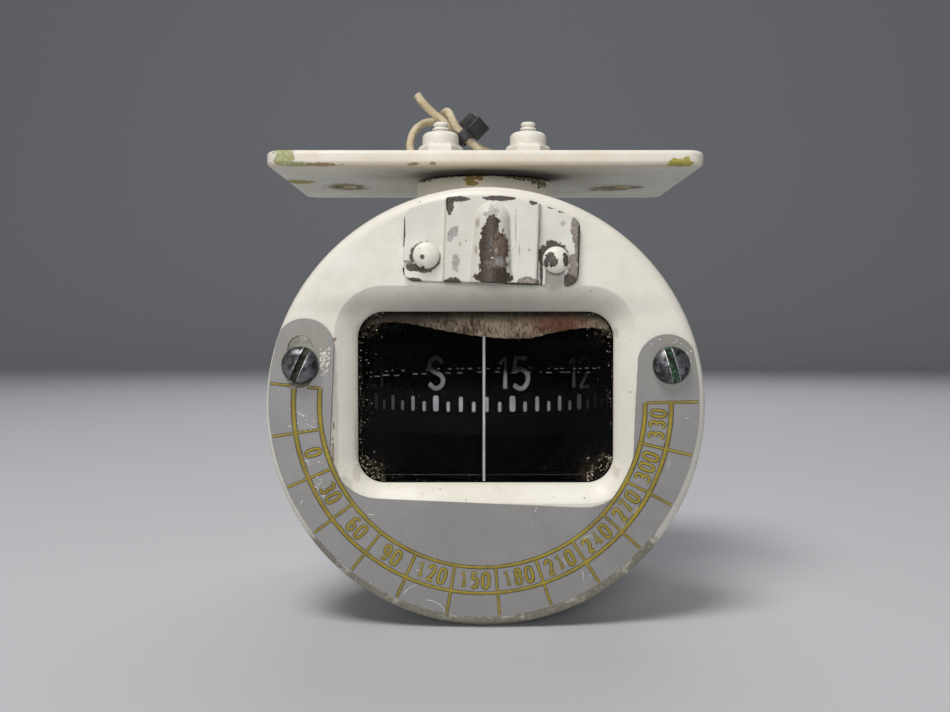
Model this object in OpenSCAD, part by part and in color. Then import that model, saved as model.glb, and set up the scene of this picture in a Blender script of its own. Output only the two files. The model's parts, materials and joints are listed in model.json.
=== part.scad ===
// Liquid-filled aircraft compass, hung from a mounting plate.
// Z is up and the face looks along -Y. The origin lies on the plate's top face,
// midway between its two fixing holes.

/* [Mounting plate] */
// Width of the plate
plate_w = 89; // [80:1:100]
// Plate in front of the fixing holes
plate_front = 38; // [34:1:44]
// Plate behind the fixing holes
plate_back = 24; // [18:1:30]
// Thickness of the plate
plate_t = 3.1; // [2:0.1:4]
// Corner radius of the plate
plate_corner = 4; // [1:0.5:8]
// Distance between the fixing holes
hole_spacing = 64; // [56:1:72]
// Diameter of a fixing hole
hole_d = 5.2; // [4:0.1:6]

/* [Neck and studs] */
// Diameter of the neck pad
neck_d = 30.4; // [28:0.2:34]
// Height of the neck pad
neck_pad_t = 3.4; // [2:0.1:5]
// Overhang of the neck pad round the case's boss
neck_overhang = 0.7; // [0.4:0.1:1]
// Thickness of the gasket on the neck pad
pad_gasket_t = 0.8; // [0.4:0.1:1.5]
// Gap between the plate and the top of the bezel
neck_gap = 5.2; // [4.6:0.1:7]
// Distance between the studs
stud_spacing = 19.7; // [17:0.1:21]
// Diameter of a stud
stud_d = 4.17; // [3.5:0.01:5]
// Length of a stud above the plate
stud_up = 10.4; // [9:0.1:13]
// Length of a stud in the case
stud_down = 6.5; // [5:0.1:7.5]
// Diameter of a washer
washer_d = 11; // [10.2:0.1:12]
// Thickness of a washer
washer_t = 1.6; // [0.8:0.1:2]
// Width across the flats of a nut
nut_flats = 8.73; // [8:0.01:10]
// Height of a nut's hexagon
nut_hex_h = 3.6; // [3:0.1:4]
// Height of a nut's round collar
nut_collar_h = 2.4; // [1.5:0.1:3]
// Diameter of a nut's round collar
nut_collar_d = 8.3; // [7:0.1:8.6]

/* [Bezel] */
// Thickness of the bezel
bezel_t = 10; // [9:0.1:13]
// Rounding of the bezel's front edge
bezel_round = 2.4; // [1:0.1:3]
// Rim of the bezel beyond the case flange
bezel_lip = 0.9; // [0.5:0.1:2]
// Distance of the face before the plate's front edge
face_reach = 9; // [6:0.5:14]
// Thickness of the bezel gasket
bezel_gasket_t = 0.8; // [0.4:0.1:1.5]
// Diameter of a screw's head on the flanges
flange_head_d = 3.8; // [3.2:0.1:4.2]
// Diameter of a screw on the flanges
flange_screw_d = 2.2; // [1.6:0.1:2.6]
// Number of screws on a flange
flange_screws = 6; // [4:2:10]

/* [Window] */
// Width of the window
window_w = 50.4; // [44:0.2:52]
// Height of the window
window_h = 33.8; // [30:0.2:35]
// Corner radius of the window
window_corner = 5.2; // [4:0.1:7]
// Height of the window's centre above the case axis
window_up = 1.8; // [0:0.1:3]
// Width of the sloping recess at the face, on each side
recess_side = 4.4; // [3:0.1:5]
// Rise of the recess centre above the window's centre
recess_up = 0.7; // [0:0.1:1]
// Depth of the recess
recess_depth = 4; // [3.4:0.1:5]
// Straight edge between the recess and the glass
recess_land = 0.5; // [0.3:0.1:0.8]
// Thickness of the glass
glass_t = 3; // [2:0.1:3.4]
// Lap of the glass behind the window's edge
glass_lap = 2; // [1.5:0.1:2.6]
// Thickness of the window gasket
window_gasket_t = 0.6; // [0.4:0.1:1]
// Thickness of the retainer behind the glass
retainer_t = 1.2; // [0.8:0.1:1.4]
// Width of the retainer beyond the glass
retainer_rim = 3; // [2.6:0.1:3.4]
// Diameter of a retainer screw's head
retainer_head_d = 2.4; // [2:0.1:2.6]
// Diameter of a retainer screw
retainer_screw_d = 1.4; // [1:0.1:1.6]
// Depth of a retainer screw in the bezel
retainer_screw_l = 2; // [1.5:0.1:2.4]
// Width of the lubber line
lubber_w = 0.5; // [0.3:0.1:1]
// Thickness of the lubber line
lubber_t = 0.3; // [0.2:0.1:0.4]

/* [Correction plate] */
// Radius of the correction plate's rim
corr_r = 41.8; // [40:0.1:42.4]
// Drop of the rim's centre below the case axis
corr_drop = 0.5; // [0:0.1:1]
// Thickness of the correction plate
corr_t = 0.8; // [0.5:0.1:1.5]
// Gap between the correction plate and the recess
corr_gap = 0.4; // [0.2:0.1:1]
// Radius of the correction plate's ears
ear_r = 6.4; // [5.5:0.1:7]
// Shift of the correction plate's screws outward from the middle of the ears
corr_screw_out = 0.42; // [0:0.02:0.6]
// Height of the correction plate's screws above the case axis
corr_screw_up = 8.3; // [5:0.1:12]
// Diameter of a correction plate screw
corr_screw_d = 4.2; // [3:0.1:4.4]
// Diameter of a correction plate screw's head
corr_head_d = 7.2; // [6:0.1:8]
// Height of a correction plate screw's head
corr_head_h = 2.6; // [1.5:0.1:3]
// Depth of a correction plate screw in the bezel
corr_screw_l = 5; // [3:0.1:5.5]
// Width of the slot in the left ear
slot_w = 5.2; // [4.6:0.1:5.6]
// Turn of the correction plate, left ear up
corr_turn = 2.5; // [0:0.1:4]
// Greatest turn that the slot allows
slot_turn = 4; // [3.5:0.1:5]

/* [Lamp] */
// Width of the lamp cover
cover_w = 34; // [30:0.5:38]
// Height of the lamp cover's lower edge above the case axis
cover_low = 24; // [23.8:0.1:26]
// Gap between the lamp cover's arched top and the bezel's rim
cover_rim = 2.1; // [2:0.1:4]
// Shift of the lamp cover to the right
cover_x = 1; // [-2:0.1:2]
// Turn of the lamp cover, left end up
cover_turn = 2; // [0:0.1:3]
// Corner radius of the lamp cover
cover_corner = 2.4; // [1:0.1:3]
// Thickness of the lamp cover's tabs
tab_t = 1.4; // [1:0.1:2]
// Width of the raised middle of the lamp cover
middle_w = 19.2; // [16:0.2:19.6]
// Corner radius of the raised middle
middle_corner = 0.4; // [0.2:0.1:1]
// Height of the raised middle above the face
middle_t = 3.2; // [2.4:0.1:4]
// Radius of the lamp bulge at its foot
bulge_r = 4.2; // [4:0.1:5]
// Radius of the lamp bulge at its top
bulge_top_r = 3.5; // [3.3:0.1:4]
// Gap between the bulge's top and the cover's arched top
bulge_rim = 1.3; // [1:0.1:2]
// Height of the bulge above the face
bulge_t = 6.2; // [5.8:0.1:7]
// Wall of the bulge
bulge_wall = 1; // [0.6:0.1:1.1]
// Distance between the lamp cover's screws
cover_spacing = 25; // [24:0.1:26]
// Height of the cover's screws above its lower edge
cover_screw_up = 5; // [4:0.1:7]
// Diameter of a lamp cover screw
cover_screw_d = 2.8; // [2:0.1:3]
// Play of a lamp cover screw in its slot
cover_slot_play = 0.8; // [0.4:0.1:1]
// Diameter of a lamp cover screw's head
cover_head_d = 5.2; // [4:0.1:5.4]
// Height of a lamp cover screw's head
cover_head_h = 1.6; // [1:0.1:2]
// Depth of a lamp cover screw in the bezel
cover_screw_l = 4; // [3:0.1:5]
// Diameter of the lamp socket
socket_d = 6.4; // [6:0.1:6.6]
// Wall of the lamp socket
socket_wall = 0.5; // [0.3:0.1:0.6]
// Depth of the lamp socket in the bezel
socket_l = 6.4; // [5.5:0.1:6.8]
// Thickness of the lamp's base
base_t = 2; // [1.5:0.1:2.2]
// Length of the bulb's cap
bulb_cap_l = 3; // [2:0.1:3.2]
// Height of the lamp above the cover's lower edge
lamp_up = 9; // [8:0.1:9.5]
// Diameter of the bulb's glass
bulb_d = 3.8; // [3:0.1:4]
// Length of the bulb before the face
bulb_out = 3.4; // [2:0.1:3.6]

/* [Case] */
// Wall of the case
case_wall = 3; // [2.6:0.1:4]
// Width of the front flange round the case
flange_w = 5.2; // [5:0.1:6.5]
// Thickness of the flanges
flange_t = 4; // [3:0.1:5]
// Width of the rear flange round the case
rear_flange_w = 4.5; // [4.3:0.1:5]
// Depth of a flange screw in its thread
flange_screw_l = 3.2; // [2:0.1:3.6]
// Thickness of the rear gasket
rear_gasket_t = 0.6; // [0.4:0.1:1]
// Thickness of the diaphragm
diaphragm_t = 0.3; // [0.2:0.05:0.4]
// Height of the diaphragm's waves
diaphragm_wave = 0.8; // [0.4:0.1:1.2]
// Number of waves in the diaphragm
diaphragm_waves = 4; // [2:1:6]
// Width of the diaphragm's flat rim
diaphragm_rim = 3.4; // [2:0.1:3.6]
// Thickness of the rear cover
cover_t = 2; // [1.5:0.1:2.5]
// Depth of the rear cover's dish
dish_depth = 7; // [5:0.1:10]
// Rounding of the rear cover's dish
dish_round = 4; // [2.5:0.1:5]
// Diameter of the vent in the rear cover
vent_d = 2; // [1:0.1:3]
// Diameter of the filler plug's thread
filler_d = 5; // [4:0.1:5.6]
// Diameter of the filler plug's head
filler_head_d = 8; // [7:0.1:9]
// Height of the filler plug's head
filler_head_h = 2.4; // [1.5:0.1:2.8]
// Thickness of the filler washer
filler_washer_t = 0.8; // [0.5:0.1:1]
// Height of the filler boss above the case
filler_boss_h = 2; // [1:0.1:2.4]

/* [Card] */
// Radius of the card
card_r = 30; // [27:0.1:31.5]
// Thickness of the card's wall
card_wall = 0.8; // [0.5:0.1:1.2]
// Height of the card's top edge above the case axis
card_top = 12; // [11:0.1:13]
// Depth of the card's lower edge below the case axis
card_low = 6; // [5:0.1:8]
// Gap between the card and the glass
card_gap = 1; // [0.7:0.1:1.5]
// Gap between the card and the case's wall
card_side_gap = 1.6; // [1.2:0.1:3]
// Gap between the card and the diaphragm
card_back_gap = 3.4; // [2.5:0.1:5]
// Heading under the lubber line
heading = 161; // [0:1:359]
// Thickness of the spider
spider_t = 1; // [0.6:0.1:1.5]
// Depth of the spider below the card's top edge
spider_drop = 2.6; // [2:0.1:3]
// Diameter of the spider's hub
hub_d = 6; // [5:0.1:7]
// Height of the hub above the spider
hub_rise = 1.5; // [1:0.1:2]
// Gap between the hub and the jewel cup
hub_gap = 0.5; // [0.4:0.1:0.8]
// Diameter of the float
float_d = 32; // [28:0.5:36]
// Diameter of the opening through the float
float_bore = 13; // [11:0.5:15]
// Height of the float
float_h = 9.4; // [8:0.1:10]
// Length of a card magnet
card_magnet_l = 34; // [28:0.5:38]
// Width and height of a card magnet
card_magnet_t = 3; // [2:0.1:3.5]
// Distance between the card magnets
card_magnet_gap = 19; // [16:0.5:22]

/* [Pivot] */
// Height of the pivot's point above the case axis
pivot_up = 4.4; // [4:0.1:4.8]
// Diameter of the pivot pin
pivot_d = 1.6; // [1.2:0.1:2]
// Length of the pivot's point
pivot_point = 2; // [1.5:0.1:2.4]
// Gap under the pivot's point
pivot_gap = 0.1; // [0.05:0.05:0.2]
// Diameter of the jewel
jewel_d = 2.5; // [2:0.1:2.8]
// Thickness of the jewel
jewel_t = 1.2; // [1:0.1:1.4]
// Diameter of the jewel cup's foot
plunger_d = 4.6; // [4.2:0.1:5]
// Diameter of the jewel cup's head
cup_d = 3.7; // [3.4:0.1:3.9]
// Height of the jewel cup's head
cup_h = 1.9; // [1.8:0.1:2.4]
// Length of the jewel cup's foot
plunger_l = 4.5; // [3.5:0.1:5.5]
// Diameter of the jewel post
post_d = 7.2; // [6.4:0.1:8]
// Diameter of the jewel post's foot
post_foot_d = 16; // [14:0.5:18]
// Thickness of the jewel post's foot
post_foot_t = 2; // [1.5:0.1:3]
// Thickness of the cap on the jewel post
post_cap_t = 0.8; // [0.6:0.1:1]
// Height of the seat under the jewel post
post_seat_h = 4; // [3.5:0.1:6]
// Length of the jewel spring
spring_l = 7.5; // [6.5:0.1:9]
// Diameter of the jewel spring's wire
spring_wire = 0.6; // [0.4:0.1:0.6]
// Number of turns in the jewel spring
spring_turns = 6; // [4:1:6]
// Diameter of a post screw
post_screw_d = 1.6; // [1:0.1:2]
// Diameter of a post screw's head
post_head_d = 3; // [2.4:0.1:3.2]

/* [Compensator] */
// Number of teeth on a compensator gear
gear_teeth = 16; // [16:4:20]
// Tooth module of the compensator gears
gear_module = 0.5; // [0.48:0.01:0.52]
// Thickness of a compensator gear
gear_t = 1.6; // [1:0.1:2]
// Play between the gear teeth
gear_play = 0.12; // [0.08:0.01:0.2]
// Diameter of a compensator shaft
shaft_d = 2; // [1.6:0.1:2.2]
// Length of a compensator magnet
comp_magnet_l = 6.8; // [5:0.1:7]
// Width of a compensator magnet
comp_magnet_w = 3; // [2.6:0.1:3.2]
// Thickness of a compensator magnet
comp_magnet_t = 2; // [1.5:0.1:2.4]
// Gap above, between and below the gears and magnets
comp_gap = 0.4; // [0.3:0.05:0.6]
// Thickness of the compensator's floor
comp_floor = 1.2; // [1:0.1:1.6]
// Wall of the compensator at its ends
comp_wall = 1.6; // [1.2:0.1:2.5]
// Width of the compensator's side rails
comp_rail = 4.6; // [4.4:0.1:5]
// Depth of a shaft in the case
shaft_seat = 1.4; // [1:0.1:1.6]
// Diameter of a compensator screw
comp_screw_d = 2; // [1.6:0.1:2.2]
// Diameter of a compensator screw's head
comp_head_d = 3.6; // [3:0.1:3.8]
// Height of a compensator screw's head
comp_head_h = 1.2; // [1:0.1:1.5]
// Depth of a compensator screw in the case
comp_screw_l = 3; // [2:0.1:3.4]

/* [Lead] */
// Diameter of the lamp lead
lead_d = 1.8; // [1.6:0.1:1.8]
// Diameter of the lead's hole in the plate
lead_hole_d = 5.2; // [4.8:0.1:6]
// Diameter of the grommet's flange
grommet_d = 7.2; // [6.6:0.1:8]
// Thickness of the grommet's flange
grommet_t = 0.8; // [0.5:0.1:1]
// Diameter of the lead's way through the neck
neck_way_d = 6; // [5.6:0.1:6.4]
// Diameter of the lead's way through the bezel and the case
channel_d = 3; // [2.8:0.1:3.2]
// Width of the tie's strap
tie_w = 2.5; // [2:0.1:3]
// Thickness of the tie's strap
tie_t = 1; // [0.8:0.1:1.2]
// Length and width of the tie's head
tie_head = 4.2; // [3.6:0.1:4.6]
// Thickness of the tie's head
tie_head_t = 3.4; // [2.8:0.1:4]

/* [Clearances] */
// Radial clearance of screws, studs and fixed shafts
fit = 0.05; // [0.02:0.01:0.08]
// Clearance round the glass, gaskets and the retainer
seat_fit = 0.15; // [0.1:0.05:0.3]
// Gap behind the correction plate and under the heads that it turns beneath
turn_gap = 0.05; // [0.02:0.01:0.1]

/* [Hidden] */
$fn = 96;
tiny = 0.01;
cavity_r = sqrt(card_r * card_r + card_top * card_top) + card_side_gap;
case_r = cavity_r + case_wall;
flange_r = case_r + flange_w;
rear_flange_r = case_r + rear_flange_w;
bezel_r = flange_r + bezel_lip;
axis_z = -(plate_t + neck_gap + bezel_r);
face_y = -(plate_front + face_reach);
bezel_back_y = face_y + bezel_t;
flange_y = bezel_back_y + bezel_gasket_t;
flange_end_y = flange_y + flange_t;
seat_y = face_y + recess_depth;
glass_y = seat_y + window_gasket_t;
glass_back_y = glass_y + glass_t;
axis_y = glass_back_y + card_gap + card_r;
case_back_y = axis_y + card_r + card_back_gap;
diaphragm_y = case_back_y + rear_gasket_t;
diaphragm_r = cavity_r - 0.5 + diaphragm_rim;
wave_r = cavity_r - cover_t;
bezel_screw_r = (case_r + flange_r) / 2;
rear_screw_r = (case_r + rear_flange_r) / 2;
glass_w = window_w + 2 * glass_lap;
glass_h = window_h + 2 * glass_lap;
retainer_screw_x = glass_w / 2 + retainer_rim / 2 + seat_fit;
retainer_screw_z = glass_h / 4;
recess_w = window_w + 2 * recess_side;
recess_h = window_h + 2 * recess_side;
recess_corner = window_corner + recess_side;
recess_layers = 6;
lamp_z = cover_low + lamp_up;
socket_back_y = face_y + socket_l;
base_back_y = socket_back_y - 0.4;
bulb_back_y = base_back_y - base_t;
cover_top_r = bezel_r - cover_rim;
neck_r = neck_d / 2;
boss_r = neck_r - neck_overhang;
boss_top_z = -plate_t - pad_gasket_t - neck_pad_t;
filler_y = (axis_y + neck_r + case_back_y - flange_t) / 2;
filler_seat_z = axis_z + case_r + filler_boss_h;
pivot_z = axis_z + pivot_up;
cup_top_z = pivot_z - pivot_gap + jewel_t / 2;
cup_low_z = cup_top_z - cup_h;
post_low_z = axis_z - cavity_r + post_seat_h;
spring_low_z = cup_low_z - plunger_l - spring_l;
spring_r = plunger_d / 2 - spring_wire;
spider_top_z = axis_z + card_top - spider_drop;
float_top_z = spider_top_z - spider_t;
hub_low_z = cup_top_z + hub_gap;
hub_top_z = spider_top_z + hub_rise;
gear_r = gear_teeth * gear_module / 2;
gear_tip_r = gear_r + gear_module;
comp_h = comp_floor + gear_t + comp_magnet_t + 3 * comp_gap;
comp_seat_z = axis_z - bezel_r + comp_h;
magnet_z = comp_seat_z - comp_gap - comp_magnet_t;
gear_z = magnet_z - comp_gap - gear_t;
comp_low_z = axis_z - bezel_r;
comp_room_x = 2 * gear_r + comp_gap + 1;
comp_room_y = gear_r * 3 + gear_tip_r / 2;
comp_x = comp_room_x + comp_rail;
comp_y = comp_room_y + comp_wall;
comp_screw_x = comp_room_x + comp_rail / 2;
comp_screw_y = comp_room_y - comp_head_d / 2;
ew_y = -2.25 * gear_r;
ns_y = 0.25 * gear_r;
gear_sites = [[-gear_r, ew_y], [gear_r, ew_y], [0, ns_y], [0, ns_y + 2 * gear_r]];
half_tooth = 180 / gear_teeth;
corr_back_y = face_y - turn_gap;
corr_screw_rise = corr_screw_up + corr_drop;
corr_rim_x = sqrt(corr_r * corr_r - corr_screw_rise * corr_screw_rise);
corr_x = (corr_rim_x + recess_w / 2 + corr_gap) / 2 + corr_screw_out;
slot_travel = 2 * corr_x * sin(slot_turn);

// The way of the lamp wire: X, Y and height above the case axis
wire_x = 0.5;
wire_y = axis_y + 6;
channel_from = [cover_x, base_back_y, lamp_z + 1];
channel_to = [wire_x, wire_y - 0.6, boss_top_z - axis_z - 1];
wire_route = [
    [cover_x, base_back_y + 2 * fit, lamp_z + 0.6],
    [cover_x, base_back_y + 0.7, lamp_z + 0.7],
    [cover_x, base_back_y + 1.6, lamp_z + 1],
    [cover_x, base_back_y + 2.6, lamp_z + 1.5],
    on_channel(0.12),
    on_channel(0.3),
    on_channel(0.5),
    on_channel(0.7),
    on_channel(0.88),
    [wire_x, wire_y - 2.3, boss_top_z - axis_z - 1.3],
    [wire_x, wire_y - 0.8, boss_top_z - axis_z - 0.1],
    [wire_x, wire_y - 0.1, boss_top_z - axis_z + 1.4],
    [wire_x, wire_y, boss_top_z - axis_z + 3.2],
    [wire_x, wire_y, -axis_z - 1.5],
    [wire_x, wire_y, -axis_z - tiny]
];

// The lead above the plate, from its hole to the cut end
lead_route = [
    [0.5, 0, 0], [0.5, 0, 1.4], [0.3, -0.2, 2.8], [-0.4, -0.6, 4.1], [-1.6, -1.1, 5.3], [-3, -1.3, 6.6],
    [-4.6, -1.3, 8.1], [-6.1, -1.3, 9.7], [-7.1, -1.1, 11.4], [-7.8, -0.2, 13], [-8.4, 1.4, 14.1],
    [-9.2, 3.3, 14.4], [-10.4, 5.3, 14], [-12, 6.8, 13], [-13.9, 7.2, 11.8], [-15.7, 6.4, 10.6],
    [-17, 4.8, 9.2], [-17.7, 2.9, 7.5], [-17.5, 1.1, 5.6], [-16.5, -0.1, 3.8], [-14.8, -0.2, 2.4],
    [-12.4, 0.9, 1.7], [-9.8, 2.9, 1.5], [-7.2, 5.2, 1.5], [-4.4, 7, 1.6], [-1, 7.5, 2],
    [0.9, 7.1, 2.3], [2.2, 6, 3], [2.7, 4.4, 4], [2.2, 2.8, 5], [0.9, 1.7, 5.7], [-1, 1.3, 6],
    [-2.9, 1.1, 6.8], [-4.6, 1.1, 8.2], [-6.2, 1.1, 9.6], [-8.2, 1.3, 11], [-10.3, 1.5, 12.6],
    [-12.4, 1.7, 14.4], [-14.2, 1.8, 16.3], [-15.6, 1.9, 18.2]
];
tie_at = [wire_x - 5.1, wire_y - 0.1, 8.15];
tie_lean = 45;
strand_gap = 2.4;
lead_sides = 8;

function unit(v) = v / norm(v);
function on_channel(share) = channel_from + share * (channel_to - channel_from);
function lifted(route, z) = [for (p = route) p + [0, 0, z]];
function moved(route, step) = [for (p = route) p + step];

// Smooth curve through the points of a route
function curve_point(a, b, c, d, t) =
    0.5 * (2 * b + (c - a) * t + (2 * a - 5 * b + 4 * c - d) * t * t + (3 * b - a - 3 * c + d) * t * t * t);
function smooth_route(p, steps) = [
    for (i = [0 : len(p) - 2])
        for (k = [0 : steps - 1])
            curve_point(p[max(i - 1, 0)], p[i], p[i + 1], p[min(i + 2, len(p) - 1)], k / steps),
    p[len(p) - 1]
];

// Rings of a tube, carried along the path without twist
function path_directions(p) = [
    for (i = [0 : len(p) - 1]) unit(p[min(i + 1, len(p) - 1)] - p[max(i - 1, 0)])
];
function carried(ways, i, side) =
    i >= len(ways) ? [] :
    let (next = unit(side - (side * ways[i]) * ways[i]))
    concat([next], carried(ways, i + 1, next));
function least_gap(p, d, apart) = min([
    for (i = [0 : len(p) - 2])
        for (j = [i + 1 : len(p) - 1])
            if (j - i >= apart) norm(p[i] - p[j]) - d
]);

module tube(path, d, sides, first_side) {
    ways = path_directions(path);
    normals = carried(ways, 0, first_side);
    last = len(path) - 1;
    points = [
        for (i = [0 : last])
            for (k = [0 : sides - 1])
                let (a = 360 * k / sides, n = normals[i], b = cross(ways[i], n))
                path[i] + d / 2 * (cos(a) * n + sin(a) * b)
    ];
    walls = [
        for (i = [0 : last - 1])
            for (k = [0 : sides - 1])
                let (a = i * sides + k, b = i * sides + (k + 1) % sides)
                each [[a, a + sides, b], [b, a + sides, b + sides]]
    ];
    first_end = [for (k = [1 : sides - 2]) [0, k, k + 1]];
    far = last * sides;
    far_end = [for (k = [1 : sides - 2]) [far, far + k + 1, far + k]];
    polyhedron(points, concat(walls, first_end, far_end));
}

// A flat outline seen from the front, pulled back from y for the given depth
module face_extrude(y, depth) {
    translate([0, y + depth, axis_z])
        rotate([90, 0, 0])
            linear_extrude(depth)
                children();
}

// A disc or ring on the case axis
module axial(r, y, depth) {
    translate([0, y, axis_z])
        rotate([-90, 0, 0])
            cylinder(r = r, h = depth);
}

module upright(r, x, y, low, high) {
    translate([x, y, low])
        cylinder(r = r, h = high - low);
}

module round_rect(w, h, r) {
    square([w - 2 * r, h], center = true);
    square([w, h - 2 * r], center = true);
    for (x = [-1, 1])
        for (y = [-1, 1])
            translate([x * (w / 2 - r), y * (h / 2 - r)])
                circle(r);
}

module window_shape(extra) {
    translate([0, window_up])
        round_rect(window_w + 2 * extra, window_h + 2 * extra, window_corner + extra);
}

module rounded_half(r, h, edge) {
    square([r - edge, h]);
    square([r, h - edge]);
    translate([r - edge, h - edge])
        circle(edge);
}

// A round or cheese head with a slot, on a plain shank that points down
module slotted_screw(head_d, head_h, shank_d, shank_l, slot_angle) {
    ball_r = (head_d * head_d / 4 + head_h * head_h) / (2 * head_h);
    difference() {
        intersection() {
            cylinder(d = head_d, h = head_h);
            translate([0, 0, head_h - ball_r])
                sphere(ball_r);
        }
        rotate([0, 0, slot_angle])
            translate([-head_d, -head_d * 0.08, head_h * 0.5])
                cube([2 * head_d, head_d * 0.16, head_h]);
    }
    translate([0, 0, -shank_l])
        cylinder(d = shank_d, h = shank_l + tiny);
}

module front_screw_place(x, z, y) {
    translate([x, y, axis_z + z])
        rotate([90, 0, 0])
            children();
}

module flange_ring(r, y) {
    for (i = [0 : flange_screws - 1])
        let (a = 360 * i / flange_screws)
            translate([r * cos(a), y, axis_z + r * sin(a)])
                rotate([-90, 0, 0])
                    children();
}

module wire_channel() {
    way = channel_to - channel_from;
    flat = norm([way[0], way[1]]);
    translate(channel_from + [0, 0, axis_z])
        rotate([0, 0, atan2(way[1], way[0])])
            rotate([0, atan2(flat, way[2]), 0])
                cylinder(d = channel_d, h = norm(way));
}

module neck_way(low, high) {
    upright(neck_way_d / 2, wire_x, wire_y, low, high);
}

module stud_places() {
    for (side = [-1, 1])
        translate([side * stud_spacing / 2, axis_y, 0])
            children();
}

module mounting_plate() {
    color("ivory")
        difference() {
            translate([0, (plate_back - plate_front) / 2, -plate_t])
                linear_extrude(plate_t)
                    round_rect(plate_w, plate_front + plate_back, plate_corner);
            for (side = [-1, 1])
                upright(hole_d / 2, side * hole_spacing / 2, 0, -plate_t - 1, 1);
            stud_places()
                translate([0, 0, -plate_t - 1])
                    cylinder(d = stud_d + 2 * fit, h = plate_t + 2);
            upright(lead_hole_d / 2, wire_x, wire_y, -plate_t - 1, 1);
        }
}

module pad_ring(r, low, high) {
    difference() {
        upright(r, 0, axis_y, low, high);
        stud_places()
            translate([0, 0, low - 1])
                cylinder(d = stud_d + 2 * fit, h = high - low + 2);
        neck_way(low - 1, high + 1);
    }
}

module neck_pad() {
    color("linen")
        pad_ring(neck_r, boss_top_z, boss_top_z + neck_pad_t);
}

module pad_gasket() {
    color("dimgray")
        pad_ring(boss_r, -plate_t - pad_gasket_t, -plate_t);
}

module mounting_studs() {
    color("gainsboro")
        stud_places()
            translate([0, 0, boss_top_z - stud_down])
                cylinder(d = stud_d, h = stud_up - boss_top_z + stud_down);
}

module stud_washers() {
    color("whitesmoke")
        stud_places()
            difference() {
                cylinder(d = washer_d, h = washer_t);
                translate([0, 0, -1])
                    cylinder(d = stud_d + 2 * fit, h = washer_t + 2);
            }
}

module stud_nuts() {
    color("whitesmoke")
        stud_places()
            translate([0, 0, washer_t])
                difference() {
                    union() {
                        cylinder(d = nut_flats / cos(30), h = nut_hex_h, $fn = 6);
                        translate([0, 0, nut_hex_h])
                            rotate_extrude()
                                rounded_half(nut_collar_d / 2, nut_collar_h, nut_collar_h / 2);
                    }
                    translate([0, 0, -1])
                        cylinder(d = stud_d + 2 * fit, h = nut_hex_h + nut_collar_h + 2);
                }
}

module compensator_room(high) {
    translate([-comp_x - fit, axis_y - comp_y - fit, comp_low_z - 1])
        cube([2 * (comp_x + fit), 2 * (comp_y + fit), high - comp_low_z + 1]);
}

module case_body() {
    color("ivory")
        difference() {
            union() {
                difference() {
                    union() {
                        axial(case_r, flange_y, case_back_y - flange_y);
                        axial(flange_r, flange_y, flange_t);
                        axial(rear_flange_r, case_back_y - flange_t, flange_t);
                        upright(boss_r, 0, axis_y, axis_z, boss_top_z);
                        upright(filler_head_d / 2 + 0.5, 0, filler_y, axis_z, filler_seat_z);
                        translate([-comp_x, axis_y - comp_y, comp_seat_z])
                            cube([2 * comp_x, 2 * comp_y, cavity_r / 2]);
                    }
                    axial(cavity_r, flange_y - 1, case_back_y - flange_y + 2);
                }
                intersection() {
                    upright(post_foot_d / 2, 0, axis_y, axis_z - case_r, post_low_z);
                    axial(cavity_r + 1, flange_y, case_back_y - flange_y);
                }
            }
            compensator_room(comp_seat_z);
            flange_ring(bezel_screw_r, flange_y - 1)
                cylinder(d = flange_screw_d + 2 * fit, h = flange_t + 2);
            flange_ring(rear_screw_r, case_back_y - flange_screw_l - fit)
                cylinder(d = flange_screw_d + 2 * fit, h = flange_screw_l + 1);
            stud_places()
                translate([0, 0, boss_top_z - stud_down - fit])
                    cylinder(d = stud_d + 2 * fit, h = stud_down + 1);
            upright(filler_d / 2 + fit, 0, filler_y, axis_z + cavity_r / 2, filler_seat_z + 1);
            wire_channel();
            neck_way(boss_top_z - 3, boss_top_z + 1);
            post_screw_places()
                translate([0, 0, post_low_z - 3])
                    cylinder(d = post_screw_d + 2 * fit, h = 4);
            for (p = gear_sites)
                upright(shaft_d / 2 + fit, p[0], axis_y + p[1], comp_seat_z - 1,
                    comp_seat_z + shaft_seat + fit);
            compensator_screw_places()
                translate([0, 0, comp_seat_z - 1])
                    cylinder(d = comp_screw_d + 2 * fit, h = comp_screw_l + fit + 1);
        }
}

// Sloping sides of the window recess, curved like a shallow bowl
module recess() {
    deep = recess_depth - recess_land;
    for (i = [0 : recess_layers - 1])
        hull()
            for (k = [i, i + 1])
                let (share = k / recess_layers, spread = pow(1 - share, 1.5))
                    translate([0, face_y + deep * share - tiny, axis_z + window_up + recess_up * spread])
                        rotate([90, 0, 0])
                            linear_extrude(2 * tiny, center = true, $fn = 32)
                                round_rect(window_w + 2 * recess_side * spread,
                                    window_h + 2 * recess_side * spread,
                                    window_corner + recess_side * spread);
}

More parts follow.
